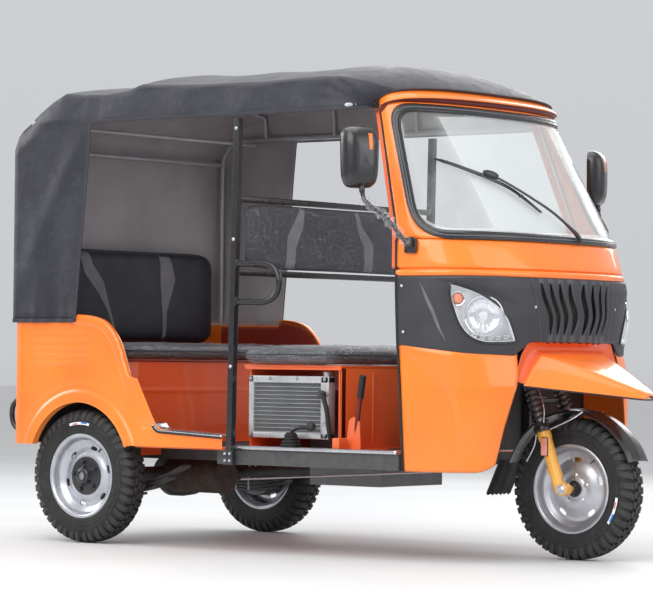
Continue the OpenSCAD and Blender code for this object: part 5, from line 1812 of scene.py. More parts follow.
# folded edges: front edge, wheel arch lip, lower sill
A = Acc()
fe = FE[:-12]
P_ = np.stack([fe[:, 0] - 1, -625.0 + 0 * fe[:, 0], fe[:, 1] - 1.5], -1)
A.add(tube_vf(P_, 1.0, 10, flat=(5, 18), up=[0, 0.02, 1]), 0, mirror=True)
an = np.linspace(rad(21), rad(159), 60)
P_ = np.stack([15 + 262 * np.cos(an), -636.0 + 0 * an, 290 + 262 * np.sin(an)], -1)
v0_, f0_ = shell_vf(np.array([P_ + [0, -9, 0], P_ + [0, 22, 0]]), np.array([P_ + [0, -9, 0] + np.stack([2.5 * np.cos(an), 0 * an, 2.5 * np.sin(an)], -1), P_ + [0, 22, 0] + np.stack([2.5 * np.cos(an), 0 * an, 2.5 * np.sin(an)], -1)]))
A.add((v0_, f0_), 0, mirror=True)
A.add(rbox_vf([272, -634, 389], [752, -612, 393], 1.5), 0, mirror=True)
A.make("body_folds", [ORANGE], angle=50)
# rear panel with pressed frame and door
ys = np.linspace(-626, 626, 127)
zs = np.linspace(384, 871, 62)
YY, Z2 = np.meshgrid(ys, zs, indexing="ij")


def box_in(a, lo, hi, e):
    return sm(a, lo, lo + e) * (1 - sm(a, hi - e, hi))


rel = 6.0 * box_in(np.abs(YY), 330, 600, 14) * box_in(Z2, 560, 840, 14) - 5.0 * box_in(YY, -300, 300, 10) * box_in(Z2, 470, 820, 10)
rel = rel + 4.0 * box_in(YY, -270, 270, 10) * (np.exp(-((Z2 - 740) / 7) ** 2) + np.exp(-((Z2 - 700) / 7) ** 2)) + 1.2 * vnoise(np.stack([Z2 * 0, YY, Z2], -1), 170)
rel = rel - 7 * (1 - sm(626 - np.abs(YY), 0, 22)) ** 2
G = np.stack([-338.5 - rel, YY, Z2], -1)
make("rear_wall_panel", *shell_vf(G, G + [3, 0, 0]), ORANGE, repl=("rear_panel",), angle=40, weld=False)
A = Acc()
for s in (-1, 1):
    for (z0, z1, mi) in ((642, 686, 2), (690, 736, 1), (740, 788, 0)):
        y0, y1 = 473, 557
        n_ = 14
        uu_ = np.linspace(0, 1, n_); vv_ = np.linspace(0, 1, 10)
        bx = 12 * (np.sin(pi * uu_)[:, None] ** 0.4) * (np.sin(pi * vv_)[None, :] ** 0.4)
        G = np.stack([-346 - bx, np.broadcast_to((y0 + (y1 - y0) * uu_)[:, None], bx.shape), np.broadcast_to((z0 + (z1 - z0) * vv_)[None, :], bx.shape)], -1)
        vf = shell_vf(G, np.stack([np.full(bx.shape, -345.0), G[..., 1], G[..., 2]], -1))
        A.add(vf if s > 0 else mirrorY(vf), mi)
    vf = rbox_vf([-347, 466, 636], [-339, 564, 794], 4)
    A.add(vf if s > 0 else mirrorY(vf), 3)
A.make("tail_lamp_set", [REDLENS, AMBER, WHITELENS, BLACKP], repl=("tail_lamps",), slot="red_lens")
# blank number plate bracket
A = Acc()
v2, f2 = prism_vf(fillet([(-120, 532), (120, 532), (120, 640), (-120, 640)], 10, 4), -349.0, -346.0, "yz")
A.add((v2, f2), 0)
for s in (-1, 1):
    A.add(hexbolt_vf([-349, s * 80, 585], (-1, 0, 0), 5.5, 4.5), 1)
    A.add(rbox_vf([-346, s * 80 - 14, 560], [-338, s * 80 + 14, 610], 2), 0)
A.make("plate_bracket", [BLACKP, BRIGHT], repl=("number_plate_bracket",))
# rear bumper loop
bp_ = spline([[-335, -500, 424], [-372, -510, 422], [-404, -508, 427], [-414, -478, 434], [-416, -400, 437], [-416, 0, 437], [-416, 400, 437], [-414, 478, 434], [-404, 508, 427], [-372, 510, 422], [-335, 500, 424]], 8)
A = Acc()
A.add(tube_vf(bp_, 13.8, 16))
for s in (-1, 1):
    sp_ = spline([[-336, s * 588, 560], [-362, s * 590, 556], [-384, s * 592, 536], [-392, s * 592, 500], [-386, s * 590, 462], [-366, s * 586, 440], [-336, s * 584, 434]], 6)
    A.add(tube_vf(sp_, 11, 14))
    A.add(rbox_vf([-342, s * 500 - 24, 404], [-336, s * 500 + 24, 446], 2))
A.make("bumper_tubes", [BLACKP], repl=("rear_bumper",))
# sill strip: bright plate with a dark line under it, turned up at its rear tip
for s in (-1, 1):
    xs2 = np.concatenate([np.linspace(404, 436, 8), np.linspace(445, 752, 30)])
    zz2 = np.interp(xs2, [404, 418, 436, 752], [478, 462, 455, 440])
    top = [np.stack([xs2, np.full(len(xs2), y_ * s), zz2 + h_], -1) for y_, h_ in ((-560, 0.5), (-600, 1.5), (-626, 2.0), (-638, 1.0), (-643, -3), (-643, -9))] if s > 0 else \
          [np.stack([xs2, np.full(len(xs2), y_ * s), zz2 + h_], -1) for y_, h_ in ((-560, 0.5), (-600, 1.5), (-626, 2.0), (-638, 1.0), (-643, -3), (-643, -9))]
    Gs = np.array(top)
    open_sheet("step_plate_" + ("right" if s > 0 else "left"), Gs, BRIGHT, 2.0, inner=(578, 0, 300), side=-1, slot="tube_steel")
    xs3 = np.linspace(755, 1556, 50)
    Gs = np.array([np.stack([xs3, np.full(50, y_ * s), np.full(50, h_)], -1) for y_, h_ in ((-540, 401.0), (-590, 401.8), (-606, 402), (-611, 400), (-612, 394), (-611, 388))])
    open_sheet("sill_plate_" + ("right" if s > 0 else "left"), Gs, BRIGHT, 1.6, inner=(1155, 0, 200), side=-1, slot="tube_steel")
    A = Acc()
    p = np.stack([xs2, np.full(len(xs2), -644.0 * s), zz2 - 11], -1)
    A.add(tube_vf(p, 3.2, 8))
    A.make("step_edge_" + ("right" if s > 0 else "left"), [RUBBER])
# dusty black on the front bulkhead is painted shade for the dark inside of the cab seen through the openings
for s_ in frame["nodes"]["front_bulkhead"].material_slots:
    s_.material = BLACKD
# seat boxes and floor take the darker orange: painted shade
for nm_ in ("driver_seat_box", "passenger_seat_box", "floor_pan"):
    ob = frame["nodes"][nm_]
    for s_ in ob.material_slots:
        s_.material = ORANGE_SHADED
for k in range(len(frame["nodes"]["wheelhouses"].material_slots)):
    frame["nodes"]["wheelhouses"].material_slots[k].material = BLACKD
for k in range(len(frame["nodes"]["step_strips"].material_slots)):
    frame["nodes"]["step_strips"].material_slots[k].material = BRIGHT

# ------------------------------------------------------------ seats
def pillow(lo, hi, axis, crown, nu=90, nv=44, pull=6.0, wr=1.5, seed=0.0, sew=()):
    """Padded slab: flat axis, domed face towards +axis, sides drawn in between its corners; returns the rim loop at its
    edge for a welt.
    """
    lo, hi = np.array(lo, float), np.array(hi, float)
    ax = "xyz".index(axis)
    ua, va = [k for k in range(3) if k != ax]
    if (hi[ua] - lo[ua]) < (hi[va] - lo[va]):
        ua, va = va, ua
    # points crowd towards the rim
    a = np.sin(np.linspace(-pi / 2, pi / 2, nu)) * 0.72 + np.linspace(-1, 1, nu) * 0.28
    b = np.sin(np.linspace(-pi / 2, pi / 2, nv)) * 0.72 + np.linspace(-1, 1, nv) * 0.28
    Aa, Bb = np.meshgrid(a, b, indexing="ij")
    # superellipse corners
    n_ = 9.0
    rr = np.maximum(1e-9, np.maximum(np.abs(Aa), np.abs(Bb)))
    norm = (np.abs(Aa) ** n_ + np.abs(Bb) ** n_) ** (1 / n_)
    k = np.where(norm > 0, rr / np.maximum(norm, 1e-9), 1)
    Aa, Bb = Aa * k, Bb * k
    m = np.clip((np.abs(Aa) ** n_ + np.abs(Bb) ** n_) ** (1 / n_), 0, 1)
    H = (hi[ax] - lo[ax]) / 2
    mid = lo[ax] + H
    prof = (1 - m ** 14) ** 0.5
    ridge = (1 - m ** 5)
    U = (lo[ua] + hi[ua]) / 2 + Aa * (hi[ua] - lo[ua]) / 2
    V_ = (lo[va] + hi[va]) / 2 + Bb * (hi[va] - lo[va]) / 2
    V_ = V_ - np.sign(Bb) * pull * (1 - Aa ** 2) * np.abs(Bb) ** 8 * 0.6
    U = U - np.sign(Aa) * pull * (1 - Bb ** 2) * np.abs(Aa) ** 8 * 0.6
    P3 = np.zeros(U.shape + (3,))
    P3[..., ua], P3[..., va] = U, V_
    w = wr * vnoise(P3, 38, seed) * (0.35 + 0.65 * m ** 4) + 0.6 * wr * vnoise(P3, 15, seed + 2) * m ** 6
    top = mid + (H - crown) * prof + crown * ridge * 0.92 + w * prof
    for (kind, at, dep) in sew:
        c_ = U if kind == "u" else V_
        top = top - dep * np.exp(-((c_ - at) / 5.0) ** 2) * prof
    bot = mid - H * prof * 0.98
    T_, B_ = P3.copy(), P3.copy()
    T_[..., ax], B_[..., ax] = top, bot
    rim = [T_[i, 0] for i in range(nu)] + [T_[-1, j] for j in range(1, nv)] + [T_[i, -1] for i in range(nu - 2, -1, -1)] + [T_[0, j] for j in range(nv - 2, 0, -1)]
    return shell_vf(T_, B_), T_, np.array(rim)


def cushion(name, lo, hi, axis, crown, node, mats=None, welt=True, film=False, rides="root", back=False, seed=0.0, sew=(), wr=1.5, pull=6.0, filmgrow=2.5):
    vf, T_, rim = pillow(lo, hi, axis, crown, seed=seed, sew=sew, wr=wr, pull=pull)
    o = make(name, vf[0], vf[1], mats or SEAT, body=rides, repl=(node,) if node else (), slot="seat_vinyl", angle=180)
    if welt:
        make(name + "_welt", *tube_vf(rim, 3.4, 8, closed=True), SEAT, slot="seat_vinyl")
    if film:
        ax = "xyz".index(axis)
        c = (np.array(lo) + np.array(hi)) / 2
        F, ff_ = vf
        F = F.copy()
        d = F - c
        g = np.array([filmgrow] * 3)
        half = (np.array(hi, float) - np.array(lo, float)) / 2
        F = c + d * (1 + g / half)
        w = 3.0 * vnoise(F, 26, 3.0 + seed) + 2.2 * vnoise(F, 11, 7.0 + seed) + 3.0 * np.abs(vnoise(F * [1, 0.35, 1], 17, 1.0 + seed)) ** 0.5
        nrm = d / np.maximum(np.linalg.norm(d / half, axis=1, keepdims=True), 1e-6) / half.max()
        dirn = np.zeros_like(F); dirn[:, ax] = np.sign(d[:, ax])
        F = F + dirn * np.maximum(w, -1.0)[:, None]
        make(name + "_film", F, ff_, FILM2 if back else FILM, slot="window_glass", angle=180)
    return T_


cushion("driver_cushion", (747, -554, 711), (1216, 554, 783), "z", 12, "driver_seat_cushion", film=True, seed=1.0, sew=(("v", 905, 3.0), ("v", 1060, 3.0)))
cushion("passenger_cushion", (-228, -598, 727), (176, 598, 787), "z", 10, "passenger_seat_cushion", film=True, seed=4.0, sew=(("v", -100, 3.0), ("v", 40, 3.0)))
TB = cushion("passenger_back", (-329, -498, 791), (-237, 498, 1170), "x", 14, "passenger_backrest", seed=6.0, wr=2.0)
TD = cushion("driver_back", (793, -583, 1073), (825, 583, 1317), "x", 6, "driver_backrest", seed=8.0, wr=1.2, film=True, back=True, filmgrow=2.0)


def surf_x(Tg, y, z):
    """Height of a cushion's face at (y, z)."""
    P = Tg.reshape(-1, 3)
    d = (P[:, 1][None] - np.ravel(y)[:, None]) ** 2 + (P[:, 2][None] - np.ravel(z)[:, None]) ** 2
    i = np.argsort(d, axis=1)[:, :4]
    dd_ = np.take_along_axis(d, i, 1) + 1e-3
    w = 1 / dd_
    return (np.sum(P[:, 0][i] * w, 1) / w.sum(1)).reshape(np.shape(y))


def stripe(name, Tg, left, right, z0, z1, mirror=True, n=40, lift=1.4, mat=None):
    z = np.linspace(z0, z1, n)
    l = np.interp(z, *zip(*left)); r = np.interp(z, *zip(*right))
    k = np.linspace(0, 1, 9)[:, None]
    y = l[None] + (r - l)[None] * k
    Zg = np.broadcast_to(z, y.shape)
    x = surf_x(Tg, y, Zg)
    A = Acc()
    top = np.stack([x + lift, y, Zg], -1)
    vf = shell_vf(top, np.stack([x - 2, y, Zg], -1))
    A.add(vf, 0)
    if mirror:
        A.add(mirrorY(vf), 0)
    return A.make(name, [mat or SEATLITE], slot="seat_vinyl", angle=60)


# ------------------------------------------------------------ stripes, bars, radiator, controls
stripe("driver_chevron_a", TD, [(1066, -354), (1159, -349), (1205, -345), (1308, -270)], [(1065, -302), (1161, -295), (1239, -253), (1308, -242)], 1078, 1312, mirror=False)
stripe("driver_chevron_b", TD, [(1062, 141), (1176, 132), (1233, 93), (1306, 75)], [(1061, 192), (1186, 193), (1257, 118), (1306, 101)], 1078, 1312, mirror=False)
stripe("passenger_chevron_a", TB, [(837, -160), (927, -206), (990, -258), (1074, -341), (1165, -368)], [(837, -148), (915, -180), (1038, -227), (1109, -292), (1165, -312)], 840, 1160, mirror=False)
stripe("passenger_chevron_b", TB, [(802, 146), (912, 139), (1034, 124), (1164, 125)], [(802, 165), (921, 165), (1054, 217), (1164, 188)], 805, 1160, mirror=False)

A = Acc()
px_ = lambda z: 777 + 23 * (z - 328) / 1320
for z in (1334, 1056):
    A.add(rbox_vf([px_(z) - 12, -604, z - 12], [px_(z) + 12, 604, z + 12], 3.5), 0)
    for s in (-1, 1):
        A.add(hexbolt_vf([px_(z) - 12, s * 560, z], (-1, 0, 0), 6, 4.5), 1)
A.make("backrest_rails", [BLACKP, BRIGHT], repl=("backrest_bars",))
A = Acc()
lp = spline([[806, -618, 1088], [870, -618, 1088], [934, -618, 1088], [985, -618, 1067], [1006, -618, 1016], [985, -618, 965], [934, -618, 944], [870, -618, 944], [806, -618, 944]], 8)
A.add(tube_vf(lp, 11.8, 18), 0, mirror=True)
for z in (1088, 944):
    A.add(rbox_vf([px_(z) + 12, -631, z - 17], [px_(z) + 17, -606, z + 17], 1.5), 0, mirror=True)
A.make("armrest_tubes", [BLACKP], repl=("armrest_loops",))
# pillars: square tube with rounded corners, welded feet and bolts
A = Acc()
for s in (-1, 1):
    n_ = 14
    zz_ = np.linspace(328, 1638, n_)
    ring = np.array([(-12.5, -13), (-10, -13.4), (10, -13.4), (12.5, -13), (13, -10), (13, 10), (12.5, 13), (10, 13.4), (-10, 13.4), (-12.5, 13), (-13, 10), (-13, -10)])
    vs = np.concatenate([np.stack([px_(z) + ring[:, 0], s * 618.5 + ring[:, 1], np.full(len(ring), z)], -1) for z in zz_])
    fs = [(i * 12 + j, i * 12 + (j + 1) % 12, (i + 1) * 12 + (j + 1) % 12, (i + 1) * 12 + j) for i in range(n_ - 1) for j in range(12)]
    fs += [tuple(range(11, -1, -1)), tuple((n_ - 1) * 12 + j for j in range(12))]
    A.add((vs, fs), 0)
    A.add(rbox_vf([755, s * 632 - 3 - (4 if s < 0 else -0), 330], [803, s * 632 + 3 + (4 if s > 0 else 0), 386], 2), 0)
    for z in (345, 371):
        A.add(hexbolt_vf([768, s * 637, z], (0, s, 0), 6, 5), 1)
        A.add(hexbolt_vf([791, s * 637, z], (0, s, 0), 6, 5), 1)
    for z in (700, 1180, 1600):
        A.add(hexbolt_vf([px_(z), s * 631.8, z], (0, s, 0), 5, 4), 1)
A.make("pillar_tubes", [BLACKP, BRIGHT], repl=("b_pillars",))

# radiator: bright channel frame, wavy fins between flat tubes, side tanks, filler neck, hose
A = Acc()
x0, x1, z0, z1 = 764, 1151, 431, 667
yo, yi = -497, -455
A.add(rbox_vf([x0, yo, z1 - 26], [x1, yi, z1], 3), 1)
A.add(rbox_vf([x0, yo, z0], [x1, yi, z0 + 22], 3), 1)
A.add(rbox_vf([x0, yo, z0], [x0 + 24, yi, z1], 3), 1)
A.add(rbox_vf([1112, yo, z0], [x1, yi, z1], 4), 1)
A.add(rbox_vf([x0 + 20, yi - 20, z0 + 18], [1112, yi - 2, z1 - 20], 1), 0)
nt = 13
for k in range(nt):
    z = z0 + 24 + (z1 - z0 - 50) * k / (nt - 1)
    A.add(rbox_vf([x0 + 18, yo + 5, z - 1.6], [1114, yi - 18, z + 1.6], 0.8), 0)
    if k < nt - 1:
        h = (z1 - z0 - 50) / (nt - 1)
        xx = np.linspace(x0 + 22, 1110, 200)
        zw = z + h / 2 + (h / 2 - 1.6) * (2 / pi) * np.arcsin(np.sin(np.arange(200) * pi / 2))
        a_ = np.stack([xx, np.full(200, yo + 7.0), zw], -1)
        b_ = a_ + [0, 16, 0]
        G0 = np.array([a_, b_])
        A.add(shell_vf(G0, G0 + [0.5, 0, 0.5]), 0)
for (x, z) in ((1131, 655), (1131, 445), (1144, 600), (1144, 500), (774, 655), (774, 443), (870, 657), (1000, 657)):
    A.add(hexbolt_vf([x, yo, z], (0, -1, 0), 5, 4), 3)
A.add(cyl_vf([1131, yo - 0, 600], [1131, yo - 20, 600], 12, 20), 2)
A.add(cyl_vf([1131, yo - 18, 600], [1131, yo - 24, 600], 16, 20), 2)
A.add(cyl_vf([1128, (yo + yi) / 2, z1 - 3], [1128, (yo + yi) / 2, z1 + 12], 15, 24), 3)
A.add(dome_vf([1128, (yo + yi) / 2, z1 + 12], (0, 0, 1), 19, 9), 3)
A.add(tube_vf(spline([[1131, yo - 14, 600], [1150, yo - 30, 588], [1168, yo - 32, 540], [1170, yo - 20, 470], [1166, yo - 2, 425]], 8), 9, 14), 2)
A.make("radiator_core", [satin("fin_alloy", "radiator_alloy", lin(150, 152, 154), rough=0.42, grain=300, gs=0.05, metal=0.3), satin("tank_alloy", "radiator_alloy", lin(186, 188, 190), rough=0.3, grain=260, gs=0.05, metal=0.45), RUBBER, STEEL], repl=("radiator",), slot="radiator_alloy")

# gear bellows and lever, brake pedal
A = Acc()
pr = [(0, 46)]
zc = 0
for k, r_ in enumerate((46, 38, 41, 33, 36, 28, 31, 24, 26, 20)):
    pr += [(zc + 3, r_), (zc + 6, r_)]
    zc += 6
pr += [(zc + 3, 15), (zc + 3, 0)]
A.add(lathe_vf([(h_, r_) for h_, r_ in pr], [1010, -543, 393], (0, 0, 1), 40), 0)
A.add(tube_vf(spline([[1010, -543, 446], [1020, -545, 462], [1052, -549, 474], [1100, -552, 478]], 6), 6.5, 12), 2)
A.add(lathe_vf([(0, 0), (0, 9), (6, 15), (18, 17), (30, 13), (35, 0)], [1096, -552, 478], (1, 0, 0.05), 24), 0)
A.add(rbox_vf([958, -592, 391], [1062, -500, 395], 2), 2)
for (x, y) in ((966, -585), (1054, -585), (966, -507), (1054, -507)):
    A.add(hexbolt_vf([x, y, 395], (0, 0, 1), 5, 4), 2)
# brake pedal with a ribbed pad
A.add(tube_vf(spline([[1440, -170, 392], [1447, -170, 430], [1456, -170, 480], [1463, -170, 514]], 6), 7.5, 12), 1)
A.add(rbox_vf([1440, -205, 511], [1490, -135, 519], 3), 0)
for k in range(5):
    A.add(rbox_vf([1446 + 9 * k, -201, 518], [1450 + 9 * k, -139, 521.6], 1), 0)
A.make("gear_bellows_and_pedal", [RUBBER, STEEL, BLACKP], repl=("driver_controls",))
# seat box front: lower posts, brackets and a hand-brake strap in the driver's doorway; posts and brackets in the darker
# orange and the lever stem in dark maroon as painted shade
A = Acc()
A.add(rbox_vf([1200, -500, 392], [1214, -470, 700], 3), 0)
A.add(rbox_vf([1210, -497, 392], [1222, 497, 396], 1.5), 0)
A.add(rbox_vf([752, -505, 690], [1215, -497, 700], 2), 0)
A.add(rbox_vf([1222, -500, 393], [1300, -440, 398], 2), 0)
A.add(prism_vf(fillet([(1226, 396), (1296, 396), (1290, 500), (1262, 520), (1240, 505)], 12, 4), -486, -480, "xz"), 0)
A.add(tube_vf(spline([[1262, -474, 398], [1270, -478, 470], [1288, -486, 560], [1300, -492, 600]], 6), 9, 12), 1)
A.add(tube_vf(spline([[1296, -491, 588], [1306, -494, 640], [1312, -496, 672]], 6), 13, 16), 2)
A.add(rbox_vf([1218, -560, 399], [1252, -505, 440], 5), 0)
A.make("seat_box_fittings", [ORANGE_SHADED, SHADE, RUBBER])

# seat boxes with pressed edges, in the darker orange and deep maroon as painted shade
A = Acc()
A.add(rbox_vf([746, -505, 700], [1216, 505, 708], 2.5), 0)
A.add(rbox_vf([1206, -500, 392], [1214, 500, 700], 2), 0)
A.add(rbox_vf([756, -480, 392], [762, 480, 700], 2), 0)
for z in (470, 560, 650):
    A.add(rbox_vf([753.5, -470, z - 6], [757, 470, z + 6], 1.5), 0)
for y in (-300, 0, 300):
    A.add(rbox_vf([1213, y - 9, 420], [1217, y + 9, 680], 1.5), 0)
A.make("driver_seat_support", [ORANGE_SHADED], repl=("driver_seat_box",))
A = Acc()
zs_p = np.linspace(345, 716, 50)
ys_p = np.linspace(-466, 466, 60)
YY3, ZZ3 = np.meshgrid(ys_p, zs_p, indexing="ij")
fold = 3.5 * np.exp(-((ZZ3 - 600) / 6) ** 2) + 2.0 * np.exp(-((YY3 + 150 + (ZZ3 - 520) * 0.25) / 10) ** 2) + 1.0 * vnoise(np.stack([YY3 * 0, YY3, ZZ3], -1), 120, 2.0)
G = np.stack([166 + fold, YY3, ZZ3], -1)
A.add(shell_vf(G, G - [4, 0, 0]), 0)
for s in (-1, 1):
    y0_, y1_ = sorted((s * 462, s * 626))
    A.add(rbox_vf([160, y0_, 580], [167, y1_, 716], 2), 0)
A.add(rbox_vf([-331, -626, 716], [168, 626, 724], 3), 0)
A.add(tube_vf(np.array([[169.0, -624, 719], [169, 0, 719], [169, 624, 719]]), 5, 10), 1)
A.make("passenger_seat_support", [ORANGE_SHADED, ORANGE_DEEP_SHADE], repl=("passenger_seat_box",))
# floor with a ribbed rubber mat, and its pressed edges; the plates in the darker orange as painted shade
A = Acc()
A.add(prism_vf([(166, -466), (300, -466), (300, -626), (754, -626), (754, 626), (300, 626), (300, 466), (166, 466)], 0, 0, "xy"), 0) if False else None
A.add(rbox_vf([166, -466, 383], [754, 466, 389], 2), 0)
A.add(rbox_vf([300, -626, 383], [754, -466, 389], 2), 0)
A.add(rbox_vf([300, 466, 383], [754, 626, 389], 2), 0)
A.add(rbox_vf([748, -570, 326], [754, 570, 384], 2), 2)
A.add(rbox_vf([755, -570, 386], [800, 570, 392], 2), 0)
A.add(rbox_vf([1190, -570, 386], [1560, 570, 392], 2), 0)
A.add(rbox_vf([800, -570, 386], [1190, -250, 392], 2), 0)
A.add(rbox_vf([800, 250, 386], [1190, 570, 392], 2), 0)
A.add(rbox_vf([804, -601, 387], [1560, -571, 392], 2), 0, mirror=True)
for k in range(40):
    y = -390 + 20 * k
    A.add(rbox_vf([200, y - 4, 389], [730, y + 4, 393.5], 1.2), 1)
A.add(rbox_vf([190, -400, 388], [740, 400, 391.5], 1.5), 1)
A.add(rbox_vf([1225, -230, 391], [1550, 500, 394.5], 1.5), 1)
for k in range(34):
    y = -220 + 21 * k
    A.add(rbox_vf([1232, y - 4, 394], [1540, y + 4, 396.5], 1.2), 1)
A.make("floor_plates", [ORANGE_SHADED, RUBBER, BLACKP], repl=("floor_pan",))


# ------------------------------------------------------------ fork, springs, front guard
RK = rad(RAKE) if RAKE > 1 else RAKE
def leg(z, s, off=0.0):
    return np.array([WB - 15 / np.cos(rad(20)) - np.tan(rad(20)) * (z - R) + off, s * 95.0, z], float)


def coil(a, b, r, wire, turns, n=28, per=10):
    a, b = np.asarray(a, float), np.asarray(b, float)
    t = np.linspace(0, 1, int(turns * n) + 1)
    d = (b - a) / np.linalg.norm(b - a)
    u = np.cross(d, [0, 1, 0]); u /= np.linalg.norm(u)
    v = np.cross(d, u)
    an = 2 * pi * turns * t
    P = a + (b - a) * t[:, None] + r * (np.cos(an)[:, None] * u + np.sin(an)[:, None] * v)
    return tube_vf(P, wire, per)


A = Acc()
Y = Acc()
dv = leg(740, 1) - leg(262, 1); dv /= np.linalg.norm(dv)
for s in (-1, 1):
    # lower legs: yellow tubes with a cast foot, drain bolt and clamp
    Y.add(lathe_vf([(0, 0), (0, 18), (6, 23), (60, 23.5), (150, 23.5), (205, 24), (212, 26.5), (236, 26.5), (242, 24), (242, 0)], leg(248, s), dv, 36), 0)
    Y.add(rbox_vf([-24, -20, -26], [24, 20, 30], 8) if False else lathe_vf([(-20, 0), (-20, 20), (-16, 24), (16, 24), (20, 20), (20, 0)], [WB, s * 95, R], (0, 1, 0), 36), 0)
    Y.add(hexbolt_vf(leg(292, s) + [26 * 0.93, 0, 8], (0.94, 0, 0.34), 5.5, 5), 1)
    Y.add(rbox_vf(leg(330, s) + [-30, -9, -12], leg(330, s) + [-14, 9, 16], 3), 0)
    # collar, coil spring, inner tube, upper sleeve
    A.add(lathe_vf([(0, 0), (0, 31), (8, 33), (22, 33), (30, 27), (30, 0)], leg(470, s), dv, 32), 0)
    A.add(cyl_vf(leg(490, s), leg(736, s), 15.5, 28), 1)
    A.add(coil(leg(496, s), leg(702, s), 24.5, 4.6, 10.5), 0)
    A.add(lathe_vf([(0, 0), (0, 30), (4, 31), (44, 31), (48, 28), (48, 0)], leg(700, s), dv, 32), 0)
    Y.add(hexbolt_vf([WB, s * 116, R], (0, s, 0), 13, 12), 1)
    Y.add(cyl_vf([WB, s * 115, R], [WB, s * 119, R], 18, 28), 1)
Y.make("lower_legs", [YELLOW, BRIGHT], body="steering", repl=("fork_legs",), slot="fork_paint")
A.add(cyl_vf([WB, -128, R], [WB, 128, R], 7.8, 24), 2)
A.add(cyl_vf(leg(590, -1), leg(590, 1), 8, 20), 0)
# lower yoke: cast plate, rounded, with pinch bolts
st = lambda t: np.array([WB - 0 - np.tan(rad(20)) * 0, 0, 0.0])
def steer_pt(z):
    return np.array([WB - (15 + OFF) / np.cos(rad(20)) - np.tan(rad(20)) * (z - R), 0.0, z])


sp0, sp1 = steer_pt(742), steer_pt(1078)
ad = (sp1 - sp0) / np.linalg.norm(sp1 - sp0)
fx = np.array([np.cos(rad(20)), 0, np.sin(rad(20))])
A.add(cyl_vf(sp0 - ad * 2, sp1, 14.6, 28), 1)
pl = fillet([(-26, -20), (OFF - 10, -123), (OFF + 10, -123), (OFF + 30, -85), (OFF + 30, 85), (OFF + 10, 123), (OFF - 10, 123), (-26, 20)], 8, 4)
v_, f_ = prism_vf(pl, 0, 22, "xy")
v_ = sp0 + v_[:, :1] * fx + v_[:, 1:2] * np.array([0, 1.0, 0]) + v_[:, 2:3] * ad
A.add((v_, f_), 0)
for s in (-1, 1):
    c = sp0 + fx * OFF + np.array([0, s * 95.0, 0])
    A.add(cyl_vf(c - ad * 1, c + ad * 22, 30, 32), 0)
    A.add(hexbolt_vf(c + ad * 22, tuple(ad), 15, 9), 2)
A.make("fork_yoke_and_springs", [BLACKP, STEEL, BRIGHT], body="steering", repl=("front_fork",), slot="black_paint")

# steering head: tube, braces, side plates
A = Acc()
h0, h1 = steer_pt(800), steer_pt(985)
hd = (h1 - h0) / np.linalg.norm(h1 - h0)
A.add(lathe_vf([(0, 15.6), (0, 29), (12, 29), (14, 27), (180, 27), (182, 29), (196.8, 29), (196.8, 15.6)], h0, hd, 40, closed=True) if False else lathe_vf([(0, 15.7), (0, 29), (12, 29), (14, 27), (180, 27), (182, 29), (196.5, 29), (196.5, 15.7), (0, 15.7)], h0, hd, 40), 0)
for s in (-1, 1):
    A.add(rbox_vf([1567, s * 190 - 20, 390], [1603, s * 190 + 20, 915], 4), 0)
    a_ = np.array([1590.0, s * 180, 880]); b_ = steer_pt(905) - [20, 0, 0]
    b_ = a_ + (b_ - a_) * 0.93
    A.add(tube_vf(np.array([a_, b_]), 10, 12, flat=(28, 46), up=[0, 0, 1]), 0)
A.make("steering_head_frame", [BLACKP], repl=("steering_head",))

# handlebar with grips, levers
A = Acc()
hx = steer_pt(1092)[0]
hp = spline([[hx - 130, -340, 1104], [hx - 90, -260, 1116], [hx - 30, -150, 1112], [hx, -60, 1096], [hx, 60, 1096], [hx - 30, 150, 1112], [hx - 90, 260, 1116], [hx - 130, 340, 1104]], 8)
A.add(tube_vf(hp, 10.8, 16), 0)
for s in (-1, 1):
    e = np.array([hx - 130, s * 340, 1104.0]); d_ = np.array([-40, s * 80.0, -12]); d_ /= np.linalg.norm(d_)
    A.add(lathe_vf([(-110, 11), (-110, 17), (-104, 18), (-100, 15)] + [(-96 + 6 * k + q, 15.5 + (0.9 if q else 0)) for k in range(14) for q in (0, 3)] + [(-8, 16), (0, 17), (4, 15), (5, 0)], e, d_, 26), 1)
    lv = spline([e - d_ * 120 + [18, 0, 6], e - d_ * 90 + [42, 0, 2], e - d_ * 30 + [44, 0, -4], e + d_ * 5 + [36, 0, -8]], 8)
    A.add(tube_vf(lv, 4.5, 12), 2)
A.make("handlebar_and_levers", [BLACKP, RUBBER, BRIGHT], body="steering", repl=("handlebar",))

# inner mudguard over the wheel, its stays, wire, reflector and flap
gn = 60
an = np.radians(np.linspace(22, 162, gn))
kk = np.linspace(-1, 1, 15)
def guard(rr_):
    r2 = rr_ - 8 * kk[None, :] ** 2 - 5 * np.clip(np.abs(kk[None, :]) - 0.86, 0, 1) / 0.14 + 1.6 * np.exp(-(kk[None, :] / 0.12) ** 2)
    return np.stack([WB + r2 * np.cos(an)[:, None], np.broadcast_to(kk * 64, (gn, 15)), R + r2 * np.sin(an)[:, None]], -1)


make("inner_mudguard", *shell_vf(guard(295.5), guard(292.5)), BLACKP, body="steering", repl=("wheel_mudguard",), angle=50)
A = Acc()
for s in (-1, 1):
    q_ = leg(470, s)
    A.add(tube_vf(spline([q_ + [-20, -s * 8, 10], [q_[0] - 48, s * 76, 500], [WB - 165, s * 66, 506]], 6), 4, 10), 1)
    A.add(tube_vf(spline([q_ + [22, -s * 4, 10], [WB + 20, s * 80, 520], [WB + 60, s * 64, R + 286]], 6), 4, 10), 1)
rf = leg(415, -1)
A.add(rbox_vf(rf + [-12, -31, -30], rf + [14, -25, 34], 3), 2)
A.add(rbox_vf(rf + [-14, -27, -33], rf + [16, -23, 37], 2), 0)
A.add(tube_vf(spline([leg(500, -1) + [20, -14, 0], leg(560, -1) + [46, -20, 0], leg(640, -1) + [40, -12, 0], leg(720, -1) + [22, 0, 0]], 8), 2.6, 8), 1)
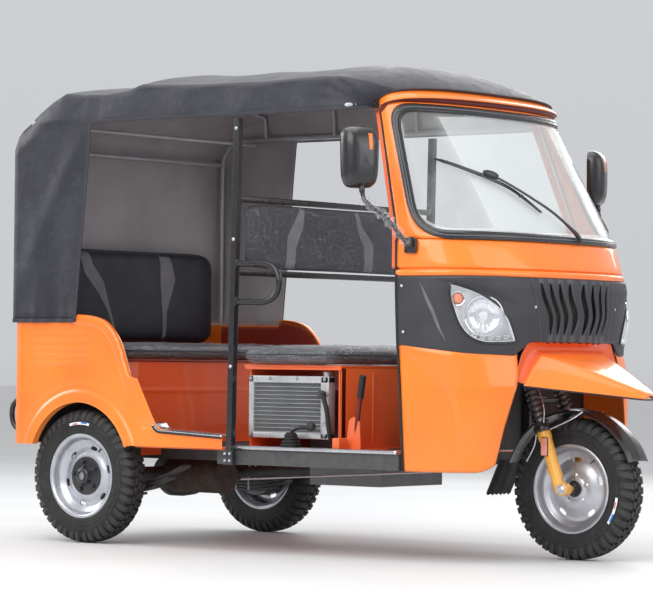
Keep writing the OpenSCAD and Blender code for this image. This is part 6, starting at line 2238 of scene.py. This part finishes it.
A.add(tube_vf(spline([leg(478, -1) + [-22, -8, 0], leg(420, -1) + [-56, -4, 0], leg(360, -1) + [-118, 4, 0]], 6), 3.2, 8), 1)
A.make("guard_stays", [BLACKP, BRIGHT, PINK], body="steering")
ft = np.array([1578.0, 0, 226]); ca, sa = np.cos(rad(25)), np.sin(rad(25))
yy_ = np.linspace(-78, 78, 53)
tt_ = np.linspace(0, 1, 22)
zb_ = 8 * np.abs(((yy_ + 78) / 26) % 1 - 0.5) * 2
L_ = zb_[None, :] + (150 - zb_[None, :]) * tt_[:, None]
bow = 2.0 * np.sin(pi * (yy_[None, :] + 78) / 156) + 0.8 * np.sin(yy_[None, :] / 9.0)
def flap(o):
    xl = -2.8 + bow + o
    return np.stack([ft[0] + xl * ca + L_ * sa, np.broadcast_to(yy_, L_.shape), ft[2] - xl * sa + L_ * ca], -1)


make("mud_flap_rubber", *shell_vf(flap(2.6), flap(0)), RUBBER, body="steering", repl=("mud_flap",), angle=50)

# ------------------------------------------------------------ underside
A = Acc()
A.add(lathe_vf([(-116, 0), (-116, 34), (-96, 40), (-88, 74), (-60, 92), (0, 96), (60, 92), (88, 74), (96, 40), (116, 34), (116, 0)], [0, 0, R], (0, 1, 0), 48), 0)
A.add(lathe_vf([(0, 0), (0, 60), (8, 66), (16, 62), (22, 30), (22, 0)], [-86, 0, R], (-1, 0, 0), 40), 0)
for k in range(10):
    q = 2 * pi * k / 10
    A.add(hexbolt_vf([-98, 52 * np.cos(q), R + 52 * np.sin(q)], (-1, 0, 0), 5, 4), 1)
for s in (-1, 1):
    A.add(cyl_vf([0, s * 100, R], [0, s * 470, R], 29, 32), 0)
    A.add(cyl_vf([0, s * 460, R], [0, s * 474, R], 44, 32), 0)
    A.add(cyl_vf([0, s * 466, R], [0, s * 600, R], 17.3, 24), 1)
    for dx in (-34, 34):
        A.add(tube_vf(np.array([[dx, s * 390, R - 80], [dx, s * 390, R + 34]], float), 6, 10), 1)
        A.add(tube_vf(np.array([[dx, s * 430, R - 80], [dx, s * 430, R + 34]], float), 6, 10), 1)
A.make("axle_casing", [BLACKD, STEEL], repl=("rear_axle",))


# ------------------------------------------------------------ final update
import json
bpy.context.view_layer.update()
